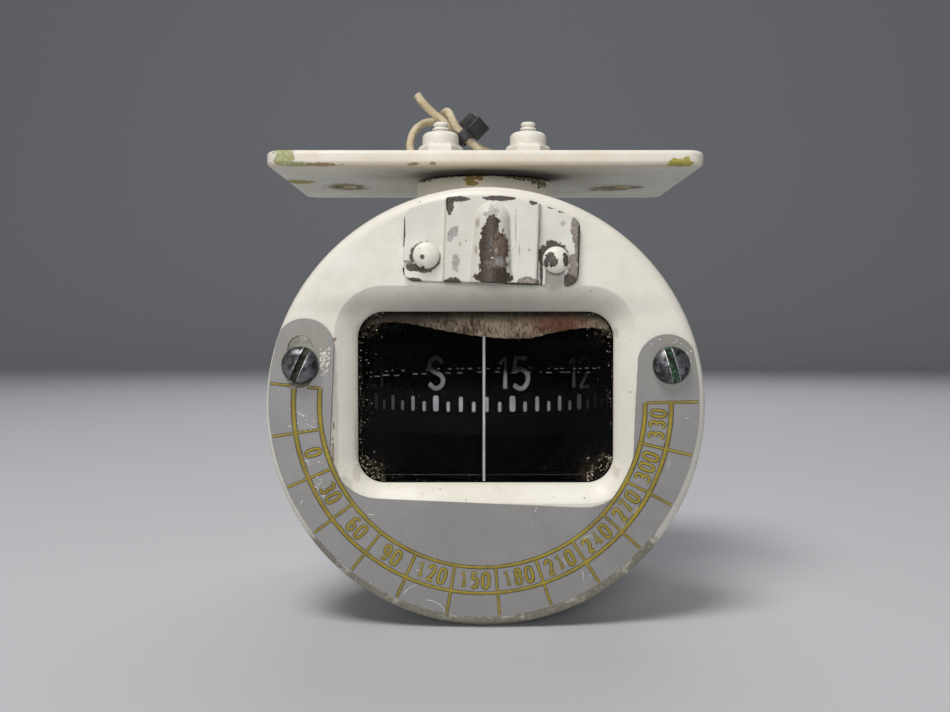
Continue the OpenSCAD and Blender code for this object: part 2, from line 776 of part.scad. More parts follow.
module front_bezel() {
    color("ivory")
        difference() {
            translate([0, bezel_back_y, axis_z])
                rotate([90, 0, 0])
                    rotate_extrude()
                        rounded_half(bezel_r, bezel_t, bezel_round);
            recess();
            face_extrude(seat_y - recess_land - tiny, recess_land + 1)
                window_shape(0);
            face_extrude(seat_y, glass_back_y - seat_y + tiny)
                window_shape(glass_lap + seat_fit);
            face_extrude(glass_back_y, bezel_t)
                window_shape(glass_lap + retainer_rim + seat_fit);
            retainer_screw_places(glass_back_y - retainer_screw_l - fit)
                cylinder(d = retainer_screw_d + 2 * fit, h = retainer_screw_l + 1);
            flange_ring(bezel_screw_r, bezel_back_y - flange_screw_l - fit)
                cylinder(d = flange_screw_d + 2 * fit, h = flange_screw_l + 1);
            for (side = [-1, 1])
                front_screw_place(side * corr_x, corr_screw_up, face_y + corr_screw_l + fit)
                    cylinder(d = corr_screw_d + 2 * fit, h = corr_screw_l + 1);
            cover_place()
                cover_screw_places(face_y + cover_screw_l + fit)
                    cylinder(d = cover_screw_d + 2 * fit, h = cover_screw_l + 1);
            front_screw_place(cover_x, lamp_z, socket_back_y + 1.2)
                cylinder(d = socket_d + 2 * fit, h = socket_l + 2);
            wire_channel();
        }
}

module bezel_gasket() {
    color("dimgray")
        difference() {
            axial(flange_r, bezel_back_y, bezel_gasket_t);
            axial(cavity_r, bezel_back_y - 1, bezel_gasket_t + 2);
            flange_ring(bezel_screw_r, bezel_back_y - 1)
                cylinder(d = flange_screw_d + 2 * fit, h = bezel_gasket_t + 2);
            face_extrude(bezel_back_y - 1, bezel_gasket_t + 2)
                window_shape(glass_lap + retainer_rim + seat_fit);
            wire_channel();
        }
}

module bezel_screws() {
    color("silver")
        flange_ring(bezel_screw_r, flange_end_y)
            slotted_screw(flange_head_d, flange_head_d / 2.6, flange_screw_d,
                flange_t + bezel_gasket_t + flange_screw_l, 20);
}

module window_glass() {
    color("lightcyan", 0.4)
        face_extrude(glass_y, glass_t)
            window_shape(glass_lap);
}

module window_gasket() {
    color("black")
        face_extrude(seat_y, window_gasket_t)
            difference() {
                window_shape(glass_lap);
                window_shape(0.2);
            }
}

module retainer_screw_places(y) {
    for (x = [-1, 1])
        for (z = [-1, 1])
            translate([x * retainer_screw_x, y, axis_z + window_up + z * retainer_screw_z])
                rotate([-90, 0, 0])
                    children();
}

module window_retainer() {
    color("silver")
        difference() {
            face_extrude(glass_back_y, retainer_t)
                difference() {
                    window_shape(glass_lap + retainer_rim);
                    window_shape(0.2);
                }
            retainer_screw_places(glass_back_y - 1)
                cylinder(d = retainer_screw_d + 2 * fit, h = retainer_t + 2);
        }
}

module retainer_screws() {
    color("silver")
        retainer_screw_places(glass_back_y + retainer_t)
            slotted_screw(retainer_head_d, retainer_head_d / 3, retainer_screw_d,
                retainer_t + retainer_screw_l, 40);
}

module lubber_line() {
    color("white")
        translate([-lubber_w / 2, glass_back_y, axis_z + window_up - window_h / 2 - 0.2])
            cube([lubber_w, lubber_t, window_h + 0.4]);
}

module cover_place() {
    turn_z = axis_z + cover_low + cover_screw_up;
    translate([cover_x, 0, turn_z])
        rotate([0, cover_turn, 0])
            translate([-cover_x, 0, -turn_z])
                children();
}

module cover_screw_places(y) {
    for (side = [-1, 1])
        front_screw_place(cover_x + side * cover_spacing / 2, cover_low + cover_screw_up, y)
            children();
}

// Outline of the cover between two heights, arched at the top like the bezel's rim
module cover_outline(w, corner) {
    intersection() {
        translate([cover_x, cover_low + bezel_r / 2])
            round_rect(w, bezel_r, corner);
        circle(cover_top_r);
    }
}

module bulge_form(shrink) {
    straight = cover_top_r - cover_low - bulge_top_r - bulge_rim;
    y = face_y - bulge_t + bulge_r;
    translate([cover_x, y, axis_z + cover_low - shrink])
        cylinder(r1 = bulge_r - shrink, r2 = bulge_top_r - shrink, h = straight + shrink);
    translate([cover_x, y, axis_z + cover_low + straight])
        sphere(bulge_top_r - shrink);
}

module lamp_cover() {
    slot = cover_screw_d + cover_slot_play;
    color("ivory")
        cover_place()
            difference() {
                union() {
                    face_extrude(face_y - tab_t, tab_t)
                        cover_outline(cover_w, cover_corner);
                    face_extrude(face_y - middle_t, middle_t)
                        cover_outline(middle_w, middle_corner);
                    intersection() {
                        bulge_form(0);
                        translate([-bezel_r, face_y - bezel_r, axis_z])
                            cube([2 * bezel_r, bezel_r, bezel_r]);
                    }
                }
                bulge_form(bulge_wall);
                front_screw_place(cover_x, lamp_z, face_y + 1)
                    cylinder(d = bulb_d + 4 * seat_fit, h = 1 + bulb_out / 2);
                cover_screw_places(face_y + 1)
                    cylinder(d = slot, h = middle_t + 2);
                translate([cover_x - cover_w, face_y - tab_t - 1,
                        axis_z + cover_low + cover_screw_up - slot / 2])
                    cube([cover_w - cover_spacing / 2, tab_t + 2, slot]);
                translate([cover_x + cover_spacing / 2 - slot / 2, face_y - tab_t - 1,
                        axis_z + cover_low - 1])
                    cube([slot, tab_t + 2, cover_screw_up + 1]);
            }
}

module lamp_cover_screws() {
    color("ivory")
        cover_place()
            cover_screw_places(face_y - tab_t)
                slotted_screw(cover_head_d, cover_head_h, cover_screw_d, tab_t + cover_screw_l, 75);
}

module lamp_socket() {
    color("goldenrod")
        difference() {
            front_screw_place(cover_x, lamp_z, socket_back_y)
                cylinder(d = socket_d, h = socket_l - 0.3);
            front_screw_place(cover_x, lamp_z, socket_back_y + 1)
                cylinder(d = socket_d - 2 * socket_wall, h = socket_l + 2);
        }
}

module lamp_base() {
    color("saddlebrown")
        front_screw_place(cover_x, lamp_z, base_back_y)
            cylinder(d = socket_d - 2 * socket_wall - 2 * fit, h = base_t);
}

module lamp_bulb() {
    cap_d = socket_d - 2 * socket_wall - 2 * fit;
    straight = bulb_back_y - face_y + bulb_out - bulb_d / 2;
    color("lightyellow", 0.5)
        front_screw_place(cover_x, lamp_z, bulb_back_y) {
            cylinder(d = cap_d, h = bulb_cap_l);
            cylinder(d = bulb_d, h = straight);
            translate([0, 0, straight])
                sphere(d = bulb_d);
        }
}

// The correction plate turns about its right screw
module corr_swung() {
    translate([corr_x, 0, axis_z + corr_screw_up])
        rotate([0, corr_turn, 0])
            translate([-corr_x, 0, -axis_z - corr_screw_up])
                children();
}

module corr_outline() {
    difference() {
        intersection() {
            translate([0, -corr_drop])
                circle(corr_r);
            union() {
                translate([-corr_r, corr_screw_up - 2 * corr_r])
                    square(2 * corr_r);
                for (side = [-1, 1])
                    translate([side * corr_x, corr_screw_up])
                        circle(ear_r);
            }
        }
        translate([0, window_up + recess_up + corr_r / 2])
            round_rect(recess_w + 2 * corr_gap, recess_h + 2 * corr_gap + corr_r, recess_corner + corr_gap);
    }
}

module correction_plate() {
    color("silver")
        corr_swung()
            face_extrude(corr_back_y - corr_t, corr_t)
                difference() {
                    corr_outline();
                    translate([corr_x, corr_screw_up])
                        circle(corr_screw_d / 2 + fit);
                    translate([-corr_x, corr_screw_up])
                        circle(slot_w / 2);
                    translate([-corr_x - slot_w / 2, corr_screw_up - slot_travel])
                        square([slot_w, slot_travel]);
                    translate([-corr_x, corr_screw_up - slot_travel])
                        circle(slot_w / 2);
                }
}

module corr_screw(side, slot_angle) {
    color("darkslategray")
        front_screw_place(side * corr_x, corr_screw_up, corr_back_y - corr_t - turn_gap)
            slotted_screw(corr_head_d, corr_head_h, corr_screw_d, corr_t + 2 * turn_gap + corr_screw_l,
                slot_angle);
}

module plate_pivot_screw() {
    corr_screw(1, 106);
}

module plate_slot_screw() {
    corr_screw(-1, 73);
}

module on_card() {
    translate([0, axis_y, 0])
        rotate([0, 0, heading - 180])
            children();
}

module compass_card() {
    low = axis_z - card_low;
    high = axis_z + card_top;
    color("black")
        on_card()
            difference() {
                translate([0, 0, low])
                    cylinder(r = card_r, h = high - low);
                translate([0, 0, low - 1])
                    cylinder(r = card_r - card_wall, h = high - low + 2);
            }
}

module card_spider() {
    r = card_r - card_wall - fit;
    window_r = (r - float_d / 2) / 2 - 1;
    color("dimgray")
        on_card()
            difference() {
                union() {
                    translate([0, 0, float_top_z])
                        cylinder(r = r, h = spider_t);
                    translate([0, 0, hub_low_z])
                        cylinder(d = hub_d, h = hub_top_z - hub_low_z);
                }
                for (a = [0 : 45 : 315])
                    rotate([0, 0, a])
                        translate([(r + float_d / 2) / 2, 0, float_top_z - 1])
                            cylinder(r = window_r, h = spider_t + 2);
                translate([0, 0, hub_low_z - 1])
                    cylinder(d = pivot_d + 2 * fit, h = hub_top_z - hub_low_z + 2);
            }
}

module card_float() {
    color("darkgray")
        on_card()
            translate([0, 0, float_top_z - float_h])
                difference() {
                    cylinder(d = float_d, h = float_h);
                    translate([0, 0, -1])
                        cylinder(d = float_bore, h = float_h + 2);
                }
}

module card_magnets() {
    color("slategray")
        on_card()
            for (side = [-1, 1])
                translate([side * card_magnet_gap / 2 - card_magnet_t / 2, -card_magnet_l / 2,
                        float_top_z - float_h - card_magnet_t])
                    cube([card_magnet_t, card_magnet_l, card_magnet_t]);
}

module pivot_pin() {
    color("silver")
        translate([0, axis_y, pivot_z]) {
            cylinder(r1 = pivot_gap, r2 = pivot_d / 2, h = pivot_point);
            translate([0, 0, pivot_point])
                cylinder(d = pivot_d, h = hub_top_z - pivot_z - pivot_point);
        }
}

module jewel() {
    color("crimson")
        translate([0, axis_y, cup_top_z - jewel_t])
            difference() {
                cylinder(d = jewel_d, h = jewel_t);
                translate([0, 0, jewel_t / 2])
                    cylinder(r1 = 2 * pivot_gap, r2 = jewel_d * 0.4, h = jewel_t / 2 + tiny);
            }
}

module jewel_cup() {
    color("goldenrod")
        translate([0, axis_y, cup_low_z])
            difference() {
                union() {
                    translate([0, 0, -plunger_l])
                        cylinder(d = plunger_d, h = plunger_l);
                    cylinder(d = cup_d, h = cup_h);
                }
                translate([0, 0, cup_h - jewel_t])
                    cylinder(d = jewel_d + 2 * fit, h = jewel_t + 1);
            }
}

module jewel_spring() {
    steps = 8;
    rise = spring_l - 2 * spring_wire;
    total = spring_turns * steps;
    helix = [
        for (i = [0 : total])
            [spring_r * cos(360 * i / steps), spring_r * sin(360 * i / steps), spring_wire + rise * i / total]
    ];
    ends = [[spring_r, 0, 0], [spring_r, 0, spring_l]];
    path = lifted(concat([ends[0]], helix, [ends[1]]), spring_low_z);
    echo(spring_least_gap = least_gap(path, spring_wire, steps - 1));
    color("silver")
        translate([0, axis_y, 0])
            tube(path, spring_wire, 6, [1, 0, 0]);
}

module post_cap() {
    color("goldenrod")
        translate([0, axis_y, cup_low_z])
            difference() {
                cylinder(d = post_d, h = post_cap_t);
                translate([0, 0, -1])
                    cylinder(d = cup_d + 2 * fit, h = post_cap_t + 2);
            }
}

module post_screw_places() {
    for (side = [-1, 1])
        translate([side * (post_d + post_foot_d) / 4, axis_y, 0])
            children();
}

module jewel_post() {
    color("darkgoldenrod")
        difference() {
            union() {
                upright(post_foot_d / 2, 0, axis_y, post_low_z, post_low_z + post_foot_t);
                upright(post_d / 2, 0, axis_y, post_low_z, cup_low_z);
            }
            upright(plunger_d / 2 + fit, 0, axis_y, spring_low_z, cup_low_z + 1);
            post_screw_places()
                translate([0, 0, post_low_z - 1])
                    cylinder(d = post_screw_d + 2 * fit, h = post_foot_t + 2);
        }
}

module post_screws() {
    color("silver")
        post_screw_places()
            translate([0, 0, post_low_z + post_foot_t])
                slotted_screw(post_head_d, post_head_d / 2.6, post_screw_d, post_foot_t + 2.5, 30);
}

module rear_gasket() {
    color("dimgray")
        difference() {
            axial(rear_flange_r, case_back_y, rear_gasket_t);
            axial(cavity_r, case_back_y - 1, rear_gasket_t + 2);
            flange_ring(rear_screw_r, case_back_y - 1)
                cylinder(d = flange_screw_d + 2 * fit, h = rear_gasket_t + 2);
        }
}

// Thin disc with ring-shaped waves inside a flat rim
module diaphragm() {
    steps = 12 * diaphragm_waves;
    waves = [
        for (i = [0 : steps])
            let (r = wave_r * i / steps)
            [r, diaphragm_wave * (1 - cos(360 * diaphragm_waves * i / steps))]
    ];
    low = concat(waves, [[diaphragm_r, 0]]);
    high = [for (i = [len(low) - 1 : -1 : 0]) low[i] + [0, diaphragm_t]];
    color("darkkhaki")
        translate([0, diaphragm_y, axis_z])
            rotate([-90, 0, 0])
                rotate_extrude()
                    polygon(concat(low, high));
}

module rear_cover() {
    color("ivory")
        difference() {
            translate([0, diaphragm_y, axis_z])
                rotate([-90, 0, 0])
                    rotate_extrude()
                        union() {
                            rounded_half(rear_flange_r, cover_t + diaphragm_t, 0.8);
                            rounded_half(cavity_r + 1, cover_t + dish_depth, dish_round);
                        }
            translate([0, diaphragm_y, axis_z])
                rotate([-90, 0, 0])
                    rotate_extrude()
                        rounded_half(cavity_r + 1 - cover_t, dish_depth, dish_round - cover_t);
            axial(diaphragm_r + seat_fit, diaphragm_y - 1, 1 + diaphragm_t);
            flange_ring(rear_screw_r, diaphragm_y - 1)
                cylinder(d = flange_screw_d + 2 * fit, h = cover_t + 3);
            axial(vent_d / 2, diaphragm_y, dish_depth + 2 * cover_t);
        }
}

module rear_cover_screws() {
    color("silver")
        flange_ring(rear_screw_r, diaphragm_y + cover_t + diaphragm_t)
            slotted_screw(flange_head_d, flange_head_d / 2.6, flange_screw_d,
                cover_t + diaphragm_t + rear_gasket_t + flange_screw_l, 50);
}

module filler_plug() {
    color("silver")
        translate([0, filler_y, filler_seat_z + filler_washer_t])
            slotted_screw(filler_head_d, filler_head_h, filler_d,
                filler_washer_t + filler_boss_h + case_wall - 0.5, 10);
}

module filler_washer() {
    color("black")
        translate([0, filler_y, filler_seat_z])
            difference() {
                cylinder(d = filler_head_d, h = filler_washer_t);
                translate([0, 0, -1])
                    cylinder(d = filler_d + 2 * fit, h = filler_washer_t + 2);
            }
}

module compensator_screw_places() {
    for (x = [-1, 1])
        for (y = [-1, 1])
            translate([x * comp_screw_x, axis_y + y * comp_screw_y, 0])
                children();
}

module compensator_box() {
    color("ivory")
        difference() {
            translate([0, axis_y, comp_low_z])
                linear_extrude(comp_h)
                    round_rect(2 * comp_x, 2 * comp_y, 2);
            translate([-comp_room_x, axis_y - comp_room_y, comp_low_z + comp_floor])
                cube([2 * comp_room_x, 2 * comp_room_y, comp_h]);
            for (p = gear_sites)
                upright(shaft_d / 2 + fit, p[0], axis_y + p[1], comp_low_z - 1, comp_low_z + comp_floor + 1);
            compensator_screw_places() {
                translate([0, 0, comp_low_z - 1])
                    cylinder(d = comp_screw_d + 2 * fit, h = comp_h + 2);
                translate([0, 0, comp_low_z - 1])
                    cylinder(d = comp_head_d + 4 * fit, h = comp_head_h + 1.2);
            }
        }
}

module compensator_screws() {
    color("silver")
        compensator_screw_places()
            translate([0, 0, comp_low_z + comp_head_h + 0.2])
                rotate([180, 0, 0])
                    slotted_screw(comp_head_d, comp_head_h, comp_screw_d,
                        comp_h - comp_head_h - 0.2 + comp_screw_l, 30);
}

function involute_turn(base_r, r) =
    let (a = acos(base_r / r))
    tan(a) * 180 / PI - a;

// One involute tooth flank as [radius, half angle] pairs, from root to tip
function tooth_flank() =
    let (base_r = gear_r * cos(20), half = 90 / gear_teeth - gear_play * 90 / PI / gear_r)
    concat(
        [[gear_r - 1.25 * gear_module, half + involute_turn(base_r, gear_r)]],
        [
            for (k = [0 : 3])
                let (r = base_r + (gear_tip_r - base_r) * k / 3)
                [r, half + involute_turn(base_r, gear_r) - involute_turn(base_r, r)]
        ]
    );

function at_angle(r, a) = [r * cos(a), r * sin(a)];

module spur_gear(site, turn) {
    flank = tooth_flank();
    last = len(flank) - 1;
    outline = [
        for (i = [0 : gear_teeth - 1])
            let (a = 360 * i / gear_teeth)
            each concat(
                [for (k = [0 : last]) at_angle(flank[k][0], a - flank[k][1])],
                [for (k = [last : -1 : 0]) at_angle(flank[k][0], a + flank[k][1])]
            )
    ];
    translate([site[0], axis_y + site[1], gear_z])
        rotate([0, 0, turn])
            difference() {
                linear_extrude(gear_t)
                    polygon(outline);
                translate([0, 0, -1])
                    cylinder(d = shaft_d + 2 * fit, h = gear_t + 2);
            }
}

module shaft(site, low, slotted) {
    difference() {
        upright(shaft_d / 2, site[0], axis_y + site[1], low, comp_seat_z + shaft_seat);
        if (slotted)
            translate([site[0] - shaft_d, axis_y + site[1] - shaft_d * 0.12, low - 1])
                cube([2 * shaft_d, shaft_d * 0.24, 1.5]);
    }
}

module bar_magnet(site) {
    translate([site[0], axis_y + site[1], magnet_z])
        difference() {
            translate([-comp_magnet_l / 2, -comp_magnet_w / 2, 0])
                cube([comp_magnet_l, comp_magnet_w, comp_magnet_t]);
            translate([0, 0, -1])
                cylinder(d = shaft_d + 2 * fit, h = comp_magnet_t + 2);
        }
}

module ew_drive_shaft() {
    color("goldenrod") shaft(gear_sites[0], comp_low_z + 0.1, true);
}

module ew_drive_gear() {
    color("gold") spur_gear(gear_sites[0], 0);
}

module ew_drive_magnet() {
    color("slategray") bar_magnet(gear_sites[0]);
}

module ew_driven_shaft() {
    color("goldenrod") shaft(gear_sites[1], comp_low_z + 0.4, false);
}

module ew_driven_gear() {
    color("gold") spur_gear(gear_sites[1], half_tooth);
}

module ew_driven_magnet() {
    color("slategray") bar_magnet(gear_sites[1]);
}

module ns_drive_shaft() {
    color("goldenrod") shaft(gear_sites[2], comp_low_z + 0.1, true);
}

module ns_drive_gear() {
    color("gold") spur_gear(gear_sites[2], 0);
}

module ns_drive_magnet() {
    color("slategray") bar_magnet(gear_sites[2]);
}

module ns_driven_shaft() {
    color("goldenrod") shaft(gear_sites[3], comp_low_z + 0.4, false);
}

module ns_driven_gear() {
    color("gold") spur_gear(gear_sites[3], half_tooth);
}

module ns_driven_magnet() {
    color("slategray") bar_magnet(gear_sites[3]);
}

module lead_grommet() {
    color("black")
        translate([wire_x, wire_y, 0])
            difference() {
                union() {
                    translate([0, 0, -plate_t + 0.1])
                        cylinder(d = lead_hole_d - 2 * fit, h = plate_t);
                    rotate_extrude()
                        rounded_half(grommet_d / 2, grommet_t, grommet_t / 2);
                }
                translate([0, 0, -plate_t - 1])
                    cylinder(d = lead_d + 6 * fit, h = plate_t + grommet_t + 2);
            }
}

module lamp_wire() {
    path = smooth_route(lifted(wire_route, axis_z), 2);
    color("wheat")
        tube(path, lead_d, lead_sides, [1, 0, 0]);
}

module lamp_lead() {
    path = smooth_route(moved(lead_route, [wire_x - 0.5, wire_y, 0]), 2);
    echo(lead_least_gap = least_gap(path, lead_d, 6));
    color("wheat")
        tube(path, lead_d, lead_sides, [1, 0, 0]);
}

// Strap round the two strands, with its head at the upper right
module lead_tie() {
    inner_w = lead_d + 4 * seat_fit;
    inner_l = strand_gap + inner_w;
    bend = inner_w / 2 - fit;
    color("black")
        translate(tie_at)
            rotate([0, -tie_lean, 0]) {
                translate([0, 0, -tie_w / 2])
                    linear_extrude(tie_w)
                        difference() {
                            round_rect(inner_w + 2 * tie_t, inner_l + 2 * tie_t, bend + tie_t);
                            round_rect(inner_w, inner_l, bend);
                        }
                translate([inner_w / 2 + tie_t - 0.1, -tie_head / 2, -tie_head / 2])
                    cube([tie_head_t, tie_head, tie_head]);
            }
}

mounting_plate();
neck_pad();
pad_gasket();
mounting_studs();
stud_washers();
stud_nuts();
case_body();
front_bezel();
bezel_gasket();
bezel_screws();
window_glass();
window_gasket();
window_retainer();
retainer_screws();
lubber_line();
lamp_cover();
lamp_cover_screws();
lamp_socket();
lamp_base();
lamp_bulb();
correction_plate();
plate_pivot_screw();
plate_slot_screw();
compass_card();
card_spider();
card_float();
card_magnets();
pivot_pin();
jewel();
jewel_cup();
jewel_spring();
post_cap();
jewel_post();
post_screws();
rear_gasket();
diaphragm();
rear_cover();
rear_cover_screws();
filler_plug();
filler_washer();
compensator_box();
compensator_screws();
ew_drive_shaft();
ew_drive_gear();
ew_drive_magnet();
ew_driven_shaft();
ew_driven_gear();
ew_driven_magnet();
ns_drive_shaft();
ns_drive_gear();
ns_drive_magnet();
ns_driven_shaft();
ns_driven_gear();
ns_driven_magnet();
lead_grommet();
lamp_wire();
lamp_lead();
lead_tie();
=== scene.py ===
import bpy
import json
import math
import random
from mathutils import Matrix, Vector


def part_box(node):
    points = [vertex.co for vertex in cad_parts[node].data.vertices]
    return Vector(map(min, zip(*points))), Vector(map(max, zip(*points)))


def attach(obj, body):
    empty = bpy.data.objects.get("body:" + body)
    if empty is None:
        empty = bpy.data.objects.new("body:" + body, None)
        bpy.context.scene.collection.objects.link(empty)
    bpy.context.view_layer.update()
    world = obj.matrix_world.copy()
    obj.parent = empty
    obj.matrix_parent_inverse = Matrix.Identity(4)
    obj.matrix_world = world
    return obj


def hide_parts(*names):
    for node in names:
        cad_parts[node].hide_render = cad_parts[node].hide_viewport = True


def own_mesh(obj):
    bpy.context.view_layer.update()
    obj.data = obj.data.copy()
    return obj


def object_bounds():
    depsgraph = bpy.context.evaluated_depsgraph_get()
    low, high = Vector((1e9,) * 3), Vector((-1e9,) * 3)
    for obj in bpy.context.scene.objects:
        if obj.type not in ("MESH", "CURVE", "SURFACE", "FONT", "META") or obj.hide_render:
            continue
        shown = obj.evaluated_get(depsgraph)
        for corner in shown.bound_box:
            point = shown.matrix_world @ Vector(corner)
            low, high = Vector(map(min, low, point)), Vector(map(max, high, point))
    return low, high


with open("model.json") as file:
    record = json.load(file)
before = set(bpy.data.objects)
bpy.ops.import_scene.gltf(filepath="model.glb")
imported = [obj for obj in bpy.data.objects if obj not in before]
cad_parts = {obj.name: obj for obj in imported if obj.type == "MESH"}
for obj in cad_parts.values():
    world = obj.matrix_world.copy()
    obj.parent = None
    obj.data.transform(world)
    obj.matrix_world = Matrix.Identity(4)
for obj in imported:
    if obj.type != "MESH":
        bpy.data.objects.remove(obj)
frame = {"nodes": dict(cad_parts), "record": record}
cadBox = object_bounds()
mm = 0.001
nodes = frame["nodes"]

bezelLow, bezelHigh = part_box("front_bezel")
faceY = bezelLow.y
axisZ = (bezelLow.z + bezelHigh.z) / 2
bezelR = (bezelHigh.x - bezelLow.x) / 2
# drawing board of the face: x to the right, y up from the case axis, z towards the reader
boardFrame = Matrix.Translation((0, faceY, axisZ)) @ Matrix.Rotation(math.pi / 2, 4, "X")
print("frame loaded with", len(nodes), "nodes")


# selection and editing

def leaveEdit():
    bpy.ops.object.mode_set(mode="OBJECT")


def clearSelection():
    if bpy.context.object and bpy.context.object.mode != "OBJECT":
        leaveEdit()
    bpy.ops.object.select_all(action="DESELECT")


def activate(piece):
    clearSelection()
    piece.select_set(True)
    bpy.context.view_layer.objects.active = piece


def named(name):
    piece = bpy.context.object
    piece.name = name
    piece.data.name = name
    return piece


def pick(piece, kind, test):
    # kind is vertices, edges or polygons; leaves the piece in edit mode with only the matches selected
    activate(piece)
    mesh = piece.data
    for group in (mesh.vertices, mesh.edges, mesh.polygons):
        group.foreach_set("select", [False] * len(group))
    for item in getattr(mesh, kind):
        item.select = test(item)
    modes = ("vertices", "edges", "polygons")
    bpy.context.tool_settings.mesh_select_mode = [kind == mode for mode in modes]
    bpy.ops.object.mode_set(mode="EDIT")


def edgeMiddle(piece, edge):
    a, b = edge.vertices
    return (piece.data.vertices[a].co + piece.data.vertices[b].co) / 2


def useModifier(piece, kind, **values):
    activate(piece)
    modifier = piece.modifiers.new(kind.lower(), kind)
    for key, value in values.items():
        setattr(modifier, key, value)
    bpy.ops.object.modifier_apply(modifier=modifier.name)


def combine(piece, other, operation):
    useModifier(piece, "BOOLEAN", object=other, operation=operation, solver="EXACT")
    bpy.data.objects.remove(other)


def cut(piece, other):
    combine(piece, other, "DIFFERENCE")


def bevelSharp(piece, width, degrees):
    # a fine bevel on every edge sharper than the angle
    useModifier(piece, "BEVEL", width=width * mm, segments=2, limit_method="ANGLE",
                angle_limit=math.radians(degrees))


def cleanNormals(piece, mergeAt=0.001):
    pick(piece, "vertices", lambda v: True)
    bpy.ops.mesh.remove_doubles(threshold=mergeAt * mm)
    bpy.ops.mesh.normals_make_consistent(inside=False)
    leaveEdit()


def smoothAt(piece, degrees):
    activate(piece)
    bpy.ops.object.shade_smooth_by_angle(angle=math.radians(degrees))


def joinPieces(pieces, name):
    clearSelection()
    for piece in pieces:
        piece.select_set(True)
    bpy.context.view_layer.objects.active = pieces[0]
    bpy.ops.object.join()
    return named(name)


def duplicate(piece):
    twin = piece.copy()
    twin.data = piece.data.copy()
    bpy.context.scene.collection.objects.link(twin)
    return twin


def bake(piece, matrix=None):
    # puts the piece's place into its mesh
    activate(piece)
    if matrix is not None:
        piece.matrix_world = matrix @ piece.matrix_world
    bpy.ops.object.transform_apply(location=True, rotation=True, scale=True)


def moved(x, y=0.0, z=0.0):
    # a shift in millimetres
    return Matrix.Translation((x * mm, y * mm, z * mm))


def turnAbout(x, y, degrees):
    # a turn on the face's board round a place on it
    return moved(x, y) @ Matrix.Rotation(math.radians(degrees), 4, "Z") @ moved(-x, -y)


def settle(piece, body, slot, material, *replaced):
    bake(piece)
    piece.data.materials.clear()
    piece.data.materials.append(material)
    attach(piece, body)
    if replaced:
        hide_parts(*replaced)


# plain forms, given in millimetres

def block(size, place):
    clearSelection()
    bpy.ops.mesh.primitive_cube_add(size=1, location=[p * mm for p in place], scale=[s * mm for s in size])
    piece = bpy.context.object
    bake(piece)
    return piece


def disc(radius, depth, place, sides=96):
    # a round block standing along z, from place upwards
    clearSelection()
    x, y, z = place
    bpy.ops.mesh.primitive_cylinder_add(vertices=sides, radius=radius * mm, depth=depth * mm,
                                        location=(x * mm, y * mm, (z + depth / 2) * mm))
    piece = bpy.context.object
    bake(piece)
    return piece


def roundBlock(width, height, corner, depth, place):
    # a block with rounded upright edges, its middle at place in x and y, from place upwards in z
    x, y, z = place
    middle = z + depth / 2
    piece = block((width, height, depth), (x, y, middle))
    pick(piece, "edges", lambda e: abs(edgeMiddle(piece, e).z - middle * mm) < depth / 4 * mm)
    bpy.ops.mesh.bevel(offset=corner * mm, offset_type="OFFSET", segments=10, affect="EDGES")
    leaveEdit()
    return piece


# camera, floor and light

camera = {"place": (-2.1, -280.0, -35.65), "pitchDown": 1.385, "lens": 45.47, "sensor": 36.0}
floorLook = {"size": 3.0, "middleY": 0.4, "wall": 1.6, "sweep": 0.5, "rough": 0.85,
             "colour": (0.44, 0.45, 0.47, 1)}
skyLook = {"colour": (0.82, 0.86, 0.92, 1), "strength": 0.15}
lamps = [
    # name, place in metres, aim, size, watts, colour
    ("keyLamp", (-0.24, -0.5, 0.88), (0, -0.03, -0.05), 0.36, 9.6, (1.0, 0.985, 0.955)),
    ("fillLamp", (-0.1, -0.95, 0.14), (0, -0.03, -0.05), 0.24, 3.0, (0.98, 0.985, 1.0)),
    ("rimLamp", (0.1, 0.75, 0.65), (0, 0, -0.04), 0.8, 4.0, (1.0, 1.0, 1.0)),
]


def makeCamera():
    clearSelection()
    bpy.ops.object.camera_add(location=Vector(camera["place"]) * mm)
    eye = named("photoCamera")
    eye.rotation_euler = (math.radians(90 - camera["pitchDown"]), 0, 0)
    eye.data.lens = camera["lens"]
    eye.data.sensor_width = camera["sensor"]
    eye.data.sensor_fit = "HORIZONTAL"
    eye.data.clip_start = 0.01
    bpy.context.scene.camera = eye


def makeFloor():
    clearSelection()
    size = floorLook["size"]
    bpy.ops.mesh.primitive_plane_add(size=size, location=(0, floorLook["middleY"], cadBox[0][2]))
    floor = named("studioFloor")
    bake(floor)
    back = max(v.co.y for v in floor.data.vertices)
    pick(floor, "edges", lambda e: edgeMiddle(floor, e).y > back - 0.01)
    bpy.ops.mesh.extrude_region_move(TRANSFORM_OT_translate={"value": (0, 0, floorLook["wall"])})
    pick(floor, "edges", lambda e: abs(edgeMiddle(floor, e).y - back) < 0.01
         and edgeMiddle(floor, e).z < cadBox[0][2] + 0.01)
    bpy.ops.mesh.bevel(offset=floorLook["sweep"], segments=16, affect="EDGES")
    leaveEdit()
    smoothAt(floor, 60)
    paper = bpy.data.materials.new("studioPaper")
    paper.use_nodes = True
    shader = paper.node_tree.nodes["Principled BSDF"]
    shader.inputs["Base Color"].default_value = floorLook["colour"]
    shader.inputs["Roughness"].default_value = floorLook["rough"]
    floor.data.materials.append(paper)


